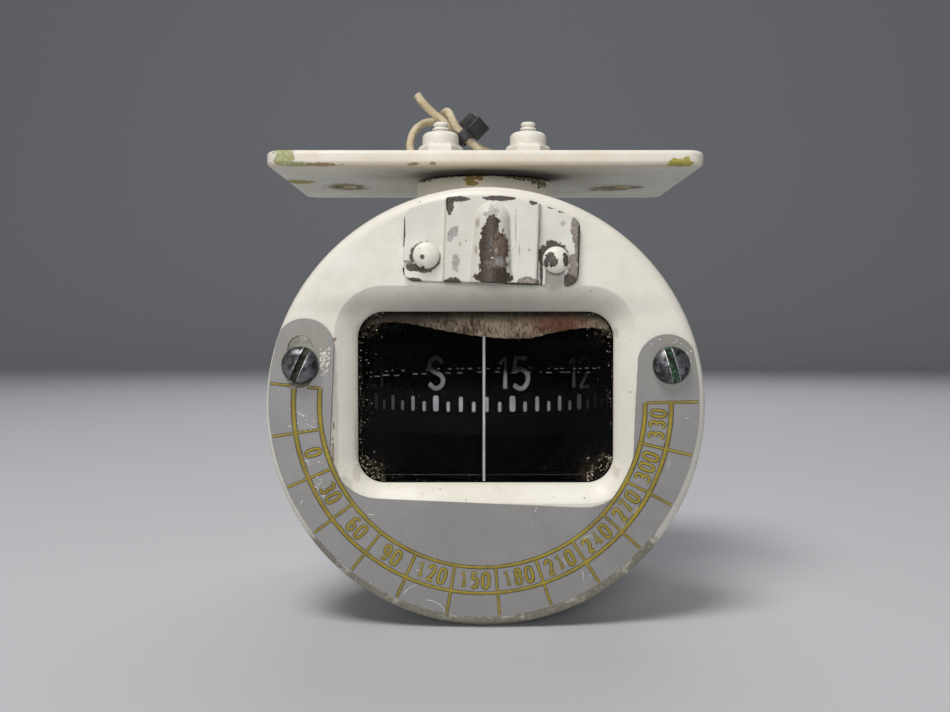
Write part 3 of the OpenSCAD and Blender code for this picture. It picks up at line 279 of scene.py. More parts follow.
def makeLamps():
    for name, place, aim, size, watts, colour in lamps:
        clearSelection()
        bpy.ops.object.light_add(type="AREA", location=place)
        lamp = named(name)
        lamp.data.shape = "SQUARE"
        lamp.data.size = size
        lamp.data.energy = watts
        lamp.data.color = colour
        lamp.rotation_euler = (Vector(aim) - Vector(place)).to_track_quat("-Z", "Y").to_euler()
    world = bpy.data.worlds.new("studioWorld")
    world.use_nodes = True
    sky = world.node_tree.nodes["Background"]
    sky.inputs["Color"].default_value = skyLook["colour"]
    sky.inputs["Strength"].default_value = skyLook["strength"]
    bpy.context.scene.world = world
    bpy.context.scene.view_settings.view_transform = "Standard"


makeCamera()
makeFloor()
makeLamps()
print("camera, floor and lamps placed")


# node helpers for the finishes

def addNode(tree, kind, inputs=None, **settings):
    node = tree.nodes.new(kind)
    for key, value in settings.items():
        setattr(node, key, value)
    for key, value in (inputs or {}).items():
        if isinstance(value, bpy.types.NodeSocket):
            tree.links.new(value, node.inputs[key])
        else:
            node.inputs[key].default_value = value
    return node


def maths(tree, operation, a, b=0.0):
    return addNode(tree, "ShaderNodeMath", {0: a, 1: b}, operation=operation, use_clamp=False).outputs[0]


def stretch(tree, value, low, high, outLow=0.0, outHigh=1.0):
    # carries a value from low..high to outLow..outHigh, smooth and clamped
    inputs = {"Value": value, "From Min": low, "From Max": high, "To Min": outLow, "To Max": outHigh}
    return addNode(tree, "ShaderNodeMapRange", inputs, interpolation_type="SMOOTHSTEP").outputs["Result"]


def times(tree, a, b):
    return maths(tree, "MULTIPLY", a, b)


def plus(tree, a, b):
    return maths(tree, "ADD", a, b)


def minus(tree, a, b):
    return maths(tree, "SUBTRACT", a, b)


def tint(tree, factor, a, b):
    return addNode(tree, "ShaderNodeMix", {0: factor, 6: a, 7: b}, data_type="RGBA").outputs[2]


def vectorMaths(tree, operation, a, b=(0.0, 0.0, 0.0)):
    return addNode(tree, "ShaderNodeVectorMath", {0: a, 1: b}, operation=operation).outputs


def axesOf(tree, place):
    # the x, y and z of a place
    return addNode(tree, "ShaderNodeSeparateXYZ", {"Vector": place}).outputs


def feed(shader, label, value):
    shader.id_data.links.new(value, shader.inputs[label])


def noise(tree, place, scale, detail=4.0, roughness=0.55, distortion=0.0):
    inputs = {"Vector": place, "Scale": scale, "Detail": detail, "Roughness": roughness,
              "Distortion": distortion}
    return addNode(tree, "ShaderNodeTexNoise", inputs).outputs["Fac"]


def newGroup(name, inputs, outputs):
    group = bpy.data.node_groups.new(name, "ShaderNodeTree")
    for label, value in inputs.items():
        kind = "NodeSocketVector" if isinstance(value, tuple) else "NodeSocketFloat"
        group.interface.new_socket(label, in_out="INPUT", socket_type=kind).default_value = value
    for label in outputs:
        group.interface.new_socket(label, in_out="OUTPUT", socket_type="NodeSocketFloat")
    return group, group.nodes.new("NodeGroupInput").outputs, group.nodes.new("NodeGroupOutput")


def buildMottle():
    # broad uneven ageing with a finer cloud in it
    group, given, out = newGroup("ageMottle", {"Place": (0.0, 0.0, 0.0), "Scale": 60.0, "Contrast": 0.2},
                                 ["Mask"])
    broad = noise(group, given["Place"], given["Scale"], 5.0, 0.6)
    fine = noise(group, given["Place"], times(group, given["Scale"], 7.0), 3.0, 0.5)
    both = plus(group, times(group, broad, 0.75), times(group, fine, 0.25))
    low = minus(group, 0.5, given["Contrast"])
    high = plus(group, 0.5, given["Contrast"])
    group.links.new(stretch(group, both, low, high), out.inputs["Mask"])
    return group


def buildSpecks():
    # scattered dots, a share of the cells of a fine mesh
    group, given, out = newGroup(
        "dirtSpecks", {"Place": (0.0, 0.0, 0.0), "Scale": 500.0, "Size": 0.2, "Share": 0.1}, ["Mask"])
    cells = addNode(group, "ShaderNodeTexVoronoi", {"Vector": given["Place"], "Scale": given["Scale"]})
    apart = addNode(group, "ShaderNodeSeparateColor", {"Color": cells.outputs["Color"]})
    chosen = maths(group, "LESS_THAN", apart.outputs[0], given["Share"])
    size = times(group, given["Size"], plus(group, apart.outputs[1], 0.3))
    dot = stretch(group, cells.outputs["Distance"], size, times(group, size, 0.6))
    group.links.new(times(group, dot, chosen), out.inputs["Mask"])
    return group


def buildBlot():
    # one ragged patch round a place
    group, given, out = newGroup("raggedBlot", {
        "Place": (0.0, 0.0, 0.0), "Centre": (0.0, 0.0, 0.0), "Size": (0.001, 0.001, 0.001),
        "Ragged": 0.6, "Rough": 0.5, "Soft": 0.06}, ["Mask"])
    away = vectorMaths(group, "SUBTRACT", given["Place"], given["Centre"])[0]
    scaled = vectorMaths(group, "DIVIDE", away, given["Size"])[0]
    distance = vectorMaths(group, "LENGTH", scaled)["Value"]
    rough = times(group, minus(group, given["Rough"], 0.5), 3.0)
    edge = plus(group, distance, times(group, rough, given["Ragged"]))
    far = plus(group, 1.0, given["Soft"])
    near = minus(group, 1.0, given["Soft"])
    group.links.new(stretch(group, edge, far, near), out.inputs["Mask"])
    return group


ageMottle = buildMottle()
dirtSpecks = buildSpecks()
raggedBlot = buildBlot()


def useGroup(tree, group, inputs):
    return addNode(tree, "ShaderNodeGroup", inputs, node_tree=group).outputs["Mask"]


def mottle(tree, place, scale, contrast=0.2):
    return useGroup(tree, ageMottle, {"Place": place, "Scale": scale, "Contrast": contrast})


def dots(tree, place, scale, size, share):
    return useGroup(tree, dirtSpecks, {"Place": place, "Scale": scale, "Size": size, "Share": share})


def newFinish(name, **plain):
    # a material with its Principled shader, its tree and its object coordinates
    material = bpy.data.materials.new(name)
    material.use_nodes = True
    tree = material.node_tree
    shader = tree.nodes["Principled BSDF"]
    for key, value in plain.items():
        shader.inputs[key.replace("_", " ")].default_value = value
    place = addNode(tree, "ShaderNodeTexCoord").outputs["Object"]
    return material, tree, shader, place


def addBump(tree, shader, height, strength, distance=0.0002):
    bump = addNode(tree, "ShaderNodeBump", {"Height": height, "Strength": strength, "Distance": distance})
    feed(shader, "Normal", bump.outputs["Normal"])


def onBoard(x, y, z=0.0):
    # a place on the face's drawing board, in millimetres, as a place in the scene
    return boardFrame @ Vector((x * mm, y * mm, z * mm))


def patchAt(x, y, z, *halves):
    # a patch for blots in the scene, its place and half sizes in millimetres
    return Vector((x * mm, y * mm, z * mm)), halves


def facePatches(*rows):
    # patches on the face for blots, from rows of x, y, half width and half height
    return [(onBoard(x, y), (halfX, 20.0, halfY)) for x, y, halfX, halfY in rows]


def blots(tree, place, patches, ragged=0.5, grain=900.0, soft=0.06, streak=1.0):
    # patches are (centre in metres, half sizes in millimetres); a streak under 1 draws the edges out upright
    mask = None
    along = addNode(tree, "ShaderNodeMapping", {"Vector": place, "Scale": (1.0, 1.0, streak)}).outputs[0]
    rough = noise(tree, along, grain, 5.0, 0.62)
    for centre, size in patches:
        inputs = {"Place": place, "Centre": tuple(centre), "Size": tuple(s * mm for s in size),
                  "Ragged": ragged, "Rough": rough, "Soft": soft}
        one = useGroup(tree, raggedBlot, inputs)
        mask = one if mask is None else maths(tree, "MAXIMUM", mask, one)
    return mask


def turned(profile, sides=64):
    # a turned form from (radius, height) pairs in millimetres, from the bottom up
    clearSelection()
    firstR, firstZ = profile[0]
    bpy.ops.mesh.primitive_circle_add(
        vertices=sides, radius=firstR * mm, fill_type="NGON", location=(0, 0, firstZ * mm))
    piece = bpy.context.object
    bake(piece)
    bpy.ops.object.mode_set(mode="EDIT")
    bpy.ops.mesh.select_all(action="SELECT")
    for (r1, z1), (r2, z2) in zip(profile, profile[1:]):
        bpy.ops.mesh.extrude_region_move(TRANSFORM_OT_translate={"value": (0, 0, (z2 - z1) * mm)})
        bpy.ops.transform.resize(value=(r2 / r1, r2 / r1, 1), center_override=(0, 0, 0))
    bpy.ops.mesh.select_all(action="SELECT")
    bpy.ops.mesh.normals_make_consistent(inside=False)
    leaveEdit()
    return piece


def quarterRound(radius, height, edge, steps=8):
    # the profile points of a rounded upper edge
    turns = [math.pi / 2 * i / steps for i in range(steps + 1)]
    return [(radius - edge + edge * math.cos(a), height - edge + edge * math.sin(a)) for a in turns]


def softened(piece, voxel, rounds):
    # thick paint: remeshed and smoothed edges
    useModifier(piece, "REMESH", mode="VOXEL", voxel_size=voxel * mm, use_smooth_shade=True)
    useModifier(piece, "SMOOTH", factor=0.5, iterations=rounds)
    cleanNormals(piece)
    smoothAt(piece, 60)


def keepFlat(piece, degrees):
    smoothAt(piece, degrees)
    useModifier(piece, "WEIGHTED_NORMAL", keep_sharp=True, weight=80)


# painted finishes: tone, ageing, specks and local patches

paintTone = {"fresh": (0.71, 0.68, 0.605, 1), "aged": (0.57, 0.53, 0.44, 1), "speck": (0.09, 0.07, 0.05, 1)}


def paintFinish(name, patches=(), tone=None, speckShare=0.05, ageing=0.45):
    # patches: spots, colour, second colour, roughness, ragged, grain, soft, streak, strength, depth
    tone = tone or paintTone
    material, tree, shader, place = newFinish(name, Roughness=0.45, Specular_IOR_Level=0.45)
    age = mottle(tree, place, 55.0, 0.16)
    cloud = times(tree, age, ageing)
    colour = tint(tree, cloud, tone["fresh"], tone["aged"])
    specks = dots(tree, place, 780.0, 0.16, speckShare)
    fine = dots(tree, place, 2100.0, 0.3, speckShare)
    dirt = maths(tree, "MAXIMUM", specks, times(tree, fine, 0.6))
    colour = tint(tree, times(tree, dirt, 0.75), colour, tone["speck"])
    rough = stretch(tree, age, 0.0, 1.0, 0.36, 0.55)
    height = times(tree, noise(tree, place, 1300.0, 2.0, 0.4), 0.06)
    height = minus(tree, height, times(tree, dirt, 0.12))
    grainy = noise(tree, place, 2600.0, 4.0, 0.65)
    for patch in patches:
        mask = blots(tree, place, patch["spots"], patch.get("ragged", 0.5), patch.get("grain", 900.0),
                     patch.get("soft", 0.05), patch.get("streak", 1.0))
        mask = times(tree, mask, patch.get("strength", 1.0))
        within = tint(tree, stretch(tree, grainy, 0.38, 0.62), patch["colour"],
                      patch.get("second", patch["colour"]))
        colour = tint(tree, mask, colour, within)
        rough = plus(tree, times(tree, rough, minus(tree, 1.0, mask)),
                     times(tree, mask, patch.get("rough", 0.6)))
        height = minus(tree, height, times(tree, mask, patch.get("depth", 0.0)))
    feed(shader, "Base Color", colour)
    feed(shader, "Roughness", rough)
    addBump(tree, shader, height, 0.8, 0.0004)
    return material


def wornMetal(name, light, dark, roughness=(0.3, 0.5), metallic=0.9):
    material, tree, shader, place = newFinish(name, Metallic=metallic)
    age = mottle(tree, place, 180.0)
    specks = dots(tree, place, 1300.0, 0.2, 0.08)
    colour = tint(tree, age, light, dark)
    feed(shader, "Base Color", tint(tree, times(tree, specks, 0.6), colour, (0.05, 0.04, 0.03, 1)))
    feed(shader, "Roughness", stretch(tree, age, 0.0, 1.0, *roughness))
    addBump(tree, shader, noise(tree, place, 900.0), 0.1, 0.0001)
    return material


def dullPlastic(name, light, dark, roughness=(0.4, 0.65), gloss=0.3):
    material, tree, shader, place = newFinish(name, Specular_IOR_Level=gloss)
    age = mottle(tree, place, 240.0)
    feed(shader, "Base Color", tint(tree, age, light, dark))
    feed(shader, "Roughness", stretch(tree, age, 0.0, 1.0, *roughness))
    addBump(tree, shader, noise(tree, place, 1400.0), 0.12, 0.0001)
    return material


# the lamp lead, cut off above its tie

leadCord = {
    "diameter": 1.8, "length": 0.0901, "shift": (0.0, -2.4, 0.0), "coreR": 0.5, "coreOut": 0.12,
    "points": [
        (0.5, 0, 0), (0.5, 0, 1.4), (0.3, -0.2, 2.8), (-0.4, -0.6, 4.1), (-1.6, -1.1, 5.3), (-3, -1.3, 6.6),
        (-4.6, -1.3, 8.1), (-6.1, -1.3, 9.7), (-7.1, -1.1, 11.4), (-7.8, -0.2, 13), (-8.4, 1.4, 14.1),
        (-9.0, 3.3, 14.4), (-9.5, 5.4, 14.3), (-10.3, 7, 13.6), (-11.8, 7.7, 13), (-13.8, 7.2, 12.6),
        (-15.5, 6.2, 11.4), (-16.6, 4.7, 9.7), (-17.1, 2.9, 7.6), (-17.1, 1.1, 5.6), (-16.4, -0.1, 3.8),
        (-14.8, -0.2, 2.4), (-12.4, 0.9, 1.7), (-9.8, 2.9, 1.5), (-7.2, 5.2, 1.5), (-4.4, 7, 1.6),
        (-1, 7.5, 2), (0.9, 7.1, 2.3), (2.0, 6, 2.8), (2.3, 4.4, 3.5), (1.8, 2.8, 4.3), (0.7, 1.7, 5.0),
        (-1, 1.3, 5.7), (-2.9, 1.1, 6.8), (-4.6, 1.1, 8.2), (-6.2, 1.1, 9.6), (-8.2, 1.3, 11),
        (-10.3, 1.5, 12.6), (-12.4, 1.7, 14.4), (-14.2, 1.8, 16.3), (-15.6, 1.9, 18.2)],
}
leadTie = {
    "at": (-4.6, -2.5, 8.0), "lean": 45, "width": 2.5, "thick": 1.0, "gap": 2.4, "play": 0.6, "corner": 2.1,
    "head": (4.0, 5.2, 4.2), "headSink": 0.7, "headUp": 0.2, "headTurn": 32, "headEdge": 0.3,
    "pawl": (1.2, 2.8, 0.9), "pawlUp": 0.4,
}


def leadPoint(point):
    return (Vector(point) + Vector(leadCord["shift"])) * mm


def leadFinish():
    # varnished cotton braid, yellowed
    material, tree, shader, place = newFinish("leadBraid", Roughness=0.6)
    age = mottle(tree, place, 160.0)
    threads = addNode(tree, "ShaderNodeTexWave", {
        "Vector": place, "Scale": 1100.0, "Distortion": 2.5, "Detail": 2.0, "Detail Scale": 2.0},
        wave_type="BANDS", bands_direction="DIAGONAL").outputs["Fac"]
    colour = tint(tree, age, (0.68, 0.59, 0.41, 1), (0.47, 0.37, 0.21, 1))
    colour = tint(tree, stretch(tree, threads, 0.0, 0.5, 0.45, 0.0), colour, (0.2, 0.15, 0.08, 1))
    feed(shader, "Base Color", colour)
    addBump(tree, shader, threads, 0.5, 0.0001)
    return material


def copperFinish():
    material, tree, shader, place = newFinish("cutCopper", Metallic=0.9, Roughness=0.45)
    age = mottle(tree, place, 700.0)
    feed(shader, "Base Color", tint(tree, age, (0.5, 0.27, 0.14, 1), (0.16, 0.09, 0.05, 1)))
    return material


def nylonFinish():
    material, tree, shader, place = newFinish("tieNylon", Roughness=0.5)
    age = mottle(tree, place, 260.0)
    specks = dots(tree, place, 1600.0, 0.25, 0.12)
    colour = tint(tree, age, (0.012, 0.012, 0.015, 1), (0.028, 0.028, 0.029, 1))
    feed(shader, "Base Color", tint(tree, specks, colour, (0.14, 0.13, 0.11, 1)))
    feed(shader, "Roughness", stretch(tree, age, 0.0, 1.0, 0.38, 0.6))
    addBump(tree, shader, noise(tree, place, 1800.0), 0.15, 0.0001)
    return material


def makeLead():
    clearSelection()
    bpy.ops.curve.primitive_bezier_curve_add()
    cord = named("lead_cord")
    curve = cord.data
    knots = curve.splines[0].bezier_points
    places = [leadPoint(point) for point in leadCord["points"]]
    knots.add(len(places) - len(knots))
    for knot, place in zip(knots, places):
        knot.co = place
        knot.handle_left_type = knot.handle_right_type = "AUTO"
    curve.dimensions = "3D"
    curve.resolution_u = 6
    curve.bevel_depth = leadCord["diameter"] / 2 * mm
    curve.bevel_resolution = 4
    curve.use_fill_caps = True
    curve.materials.append(leadFinish())
    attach(cord, "case")
    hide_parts("lamp_lead")

    end, before = places[-1], places[-2]
    core = turned([(leadCord["coreR"], -0.4), (leadCord["coreR"], 0.0),
                   (leadCord["coreR"] * 0.8, leadCord["coreOut"])], 16)
    named("lead_core")
    bake(core, Matrix.Translation(end) @ (end - before).to_track_quat("Z", "Y").to_matrix().to_4x4())
    smoothAt(core, 40)
    settle(core, "case", "lead_insulation", copperFinish())
    return cord, core


def makeTie():
    # strap round both strands, with its head to the upper right
    spec = leadTie
    width, thick = spec["width"], spec["thick"]
    innerW = leadCord["diameter"] + spec["play"]
    innerL = spec["gap"] + innerW
    strap = roundBlock(innerW + 2 * thick, innerL + 2 * thick, spec["corner"], width, (0, 0, -width / 2))
    cut(strap, roundBlock(innerW, innerL, spec["corner"] - thick, 4 * width, (0, 0, -2 * width)))
    bevelSharp(strap, 0.12, 50)
    out, deep, along = spec["head"]
    at = innerW / 2 + thick - spec["headSink"] + out / 2
    box = block((out, deep, along), (0, 0, 0))
    pick(box, "edges", lambda e: True)
    bpy.ops.mesh.bevel(offset=spec["headEdge"] * mm, segments=3, affect="EDGES")
    leaveEdit()
    cut(box, block(spec["pawl"], (out / 2, 0, spec["pawlUp"])))
    bake(box, moved(at, 0, spec["headUp"]) @ Matrix.Rotation(math.radians(spec["headTurn"]), 4, "X"))
    tie = joinPieces([strap, box], "lead_strap")
    bake(tie, moved(*spec["at"]) @ Matrix.Rotation(-math.radians(spec["lean"]), 4, "Y"))
    smoothAt(tie, 40)
    settle(tie, "case", "tie_nylon", nylonFinish(), "lead_tie")
    return tie


cord, core = makeLead()
tie = makeTie()
print("lead and tie made")


# the round front with its window recess

faceBezel = {
    "thick": 10.0, "edge": 2.4, "window": (50.4, 33.8, 5.2), "windowUp": 1.8, "recessSide": 4.4,
    "recessUp": 0.7, "recessDepth": 3.5, "land": 0.5, "glassLap": 2.15, "glassBack": 7.6,
    "retainerLap": 5.15, "plateScrew": (35.8516, 8.3), "screwHole": (2.15, 5.1), "lampAt": (1.0, 33.0),
    "lampHole": (3.25, 6.4),
}
recessSteps = [0, 0.02, 0.05, 0.09, 0.14, 0.2, 0.28, 0.37, 0.46, 0.55, 0.64, 0.72, 0.8, 0.87, 0.93, 0.97,
               0.99, 1]


def recessShare(step):
    # how deep the recess is at a share of its side, rolling over softly at both ends
    return (1 - (1 - step) ** (2 / 3)) * step / (step + 0.05) * 1.05


def recessCutter():
    spec = faceBezel
    wide, high, corner = spec["window"]
    side, deep = spec["recessSide"], spec["recessDepth"]
    clearSelection()
    bpy.ops.mesh.primitive_plane_add(size=1, location=(0, (spec["windowUp"] + spec["recessUp"]) * mm, 0))
    cutter = bpy.context.object
    cutter.scale = ((wide + 2 * side) * mm, (high + 2 * side) * mm, 1)
    bake(cutter)
    pick(cutter, "vertices", lambda v: True)
    bpy.ops.mesh.bevel(offset=(corner + side) * mm, offset_type="OFFSET", segments=14, affect="VERTICES")
    bpy.ops.mesh.select_all(action="SELECT")
    bpy.ops.mesh.extrude_region_move(TRANSFORM_OT_translate={"value": (0, 0, 1 * mm)})
    pick(cutter, "polygons", lambda f: f.center.z < 0.1 * mm)
    for before, after in zip(recessSteps, recessSteps[1:]):
        bpy.ops.mesh.inset(thickness=(after - before) * side * mm, depth=0)
        drop = (recessShare(after) - recessShare(before)) * deep
        sink = -spec["recessUp"] * (after - before)
        bpy.ops.transform.translate(value=(0, sink * mm, -drop * mm))
    bpy.ops.mesh.extrude_region_move(TRANSFORM_OT_translate={"value": (0, 0, -1 * mm)})
    bpy.ops.mesh.select_all(action="SELECT")
    bpy.ops.mesh.normals_make_consistent(inside=False)
    leaveEdit()
    return cutter


def makeBezel():
    spec = faceBezel
    radius = bezelR / mm
    back = -spec["thick"]
    profile = [(radius - 0.2, back), (radius, back + 0.2)] + quarterRound(radius, 0, spec["edge"], 10)
    bezel = turned(profile, 192)
    named("face_bezel")
    cut(bezel, recessCutter())
    wide, high, corner = spec["window"]
    for lap, top in ((spec["glassLap"], -spec["recessDepth"] - spec["land"]),
                     (spec["retainerLap"], -spec["glassBack"])):
        cut(bezel, roundBlock(wide + 2 * lap, high + 2 * lap, corner + lap, top - back + 1,
                              (0, spec["windowUp"], back - 1)))
    screwX, screwY = spec["plateScrew"]
    screwR, screwDeep = spec["screwHole"]
    for side in (-1, 1):
        cut(bezel, disc(screwR, 7, (side * screwX, screwY, -screwDeep), 32))
    lampR, lampDeep = spec["lampHole"]
    cut(bezel, disc(lampR, 8, (*spec["lampAt"], -lampDeep), 48))
    bake(bezel, boardFrame)
    cleanNormals(bezel)
    keepFlat(bezel, 40)
    settle(bezel, "case", "painted_case", bezelPaint(), "front_bezel")


def bezelPaint():
    def onRim(degrees, half, high):
        # a patch on the rim, counted from straight down, to the right
        turn = math.radians(degrees)
        place = Vector((bezelR * math.sin(turn), faceY + 2 * mm, axisZ - bezelR * math.cos(turn)))
        return place, (half, 9, high)

    # dark olive-brown: dirt on the rim and along edges, also painted shade in the plate's slot and under its
    # left screw
    grimeAndShade = {"colour": (0.1, 0.085, 0.055, 1), "second": (0.27, 0.245, 0.19, 1), "ragged": 0.7, "soft": 0.35,
             "rough": 0.75}
    rust = {"colour": (0.14, 0.08, 0.045, 1), "second": (0.28, 0.2, 0.13, 1), "ragged": 0.9, "grain": 1500.0,
            "soft": 0.15, "rough": 0.8}
    shade = {"colour": (0.3, 0.285, 0.25, 1), "ragged": 0.2, "grain": 300.0, "soft": 0.8, "rough": 0.6}
    return paintFinish("bezelPaint", [
        dict(shade, strength=0.85, spots=facePatches((0, 19.7, 23, 2.5))),
        dict(shade, strength=0.65, soft=0.4, spots=facePatches((13.2, 25.2, 1.9, 2.4))),
        dict(grimeAndShade, strength=0.85, spots=[
            onRim(0, 27, 2.6), onRim(-20, 10, 3.4), onRim(20, 10, 3.4), onRim(-34, 8, 4.5), onRim(34, 8, 4.5),
            onRim(-47, 4, 5), onRim(46, 4, 5)]),
        # dirt and painted shade in the plate's slot above the left screw
        dict(grimeAndShade, strength=0.7, colour=(0.13, 0.125, 0.085, 1), second=(0.34, 0.33, 0.26, 1),
             spots=facePatches((-35.85, 11.2, 3.2, 2.6))),
        # dirt in the lamp cover's left side slot, and a painted shadow in the slit of the plate's slot under
        # the left screw
        dict(grimeAndShade, strength=0.95, soft=0.1,
             spots=facePatches((-13.9, 27.2, 1.7, 0.8), (-36.1, 4.3, 2.9, 1.3))),
        dict(grimeAndShade, strength=0.3, grain=500.0, spots=facePatches(
            (-29.3, -4, 0.6, 13), (29.4, -6, 0.5, 12), (-27.5, -15.8, 1.6, 2.0))),
        dict(rust, strength=0.8, spots=facePatches(
            (-29.75, -8.4, 0.3, 2.4), (-29.3, 13.3, 0.35, 0.35), (-29.6, -3.5, 0.18, 0.7))),
        dict(rust, strength=0.25, spots=facePatches(
            (-25.3, -13.0, 0.7, 1.6), (25.6, -12.8, 0.7, 1.2), (25.6, 14.5, 0.5, 1.0),
            (-25.6, -6.0, 0.2, 4))),
    ])


makeBezel()
print("bezel made")


# lamp cover and its screws, sitting a little askew

lampCover = {
    "x": 1.0, "low": 24.0, "topR": 40.911, "width": 34.0, "blank": 43.0, "corner": 2.4, "tab": 1.4,
    "middle": 19.2, "middleThick": 3.2, "middleLean": 0.8, "bulgeR": 4.2, "bulgeTopR": 3.5, "bulgeRim": 1.3,
    "bulgeThick": 6.2, "wall": 1.0, "spacing": 25.0, "screwUp": 5.0, "slot": 3.6, "sideSlot": 1.2,
    "sideSlotDown": 1.75, "turn": 2.0, "voxel": 0.17,
}
coverTurn = turnAbout(lampCover["x"], lampCover["low"] + lampCover["screwUp"], -lampCover["turn"])


def archedBlock(width, corner, thick, lean=0.0):
    # an upright block with rounded corners, arched at its top like the rim, its sides leaning in
    spec = lampCover
    piece = roundBlock(width, spec["blank"], corner, thick, (spec["x"], spec["low"] + spec["blank"] / 2, 0))
    pick(piece, "vertices", lambda v: v.co.z > thick * 0.9 * mm)
    bpy.ops.transform.resize(value=(1 - 2 * lean / width, 1, 1), center_override=(spec["x"] * mm, 0, 0))
    leaveEdit()
    combine(piece, disc(spec["topR"], 30, (0, 0, -10), 256), "INTERSECT")
    for side in (-1, 1):
        x = spec["x"] + side * (width / 2 - corner)
        y = math.sqrt((spec["topR"] - corner) ** 2 - x ** 2)
        cutter = block((2 * corner, 2 * corner, 20), (x + side * corner, y + corner, 0))
        cut(cutter, disc(corner, 40, (x, y, -20), 48))
        cut(piece, cutter)
    return piece


def bulgeForm(shrink):
    # tapered half-round bulge over the bulb, domed at the top
    spec = lampCover
    straight = spec["topR"] - spec["low"] - spec["bulgeTopR"] - spec["bulgeRim"]
    big, small = spec["bulgeR"] - shrink, spec["bulgeTopR"] - shrink
    dome = [(small * math.cos(a), straight + small * math.sin(a))
            for a in (math.pi / 2 * i / 10 for i in range(1, 10))]
    form = turned([(big, -shrink), (small, straight)] + dome + [(small * 0.03, straight + small)], 64)
    place = moved(spec["x"], spec["low"], spec["bulgeThick"] - spec["bulgeR"])
    bake(form, place @ Matrix.Rotation(-math.pi / 2, 4, "X"))
    return form


def makeLampCover():
    spec = lampCover
    cover = archedBlock(spec["width"], spec["corner"], spec["tab"])
    combine(cover, archedBlock(spec["middle"], 0.4, spec["middleThick"], spec["middleLean"]), "UNION")
    combine(cover, bulgeForm(0), "UNION")
    cut(cover, block((200, 200, 20), (0, 0, -10)))
    cut(cover, bulgeForm(spec["wall"]))
    screwY = spec["low"] + spec["screwUp"]
    half, slot = spec["spacing"] / 2, spec["slot"]
    for side in (-1, 1):
        cut(cover, disc(slot / 2, 20, (spec["x"] + side * half, screwY, -5), 32))
    cut(cover, block((20, spec["sideSlot"], 20), (spec["x"] - half - 10, screwY - spec["sideSlotDown"], 0)))
    cut(cover, block((slot, 20, 20), (spec["x"] + half, screwY - 10, 0)))
    softened(cover, spec["voxel"], 3)
    named("lamp_housing")
    bake(cover, boardFrame @ coverTurn)
    settle(cover, "case", "painted_case", coverPaint(), "lamp_cover")


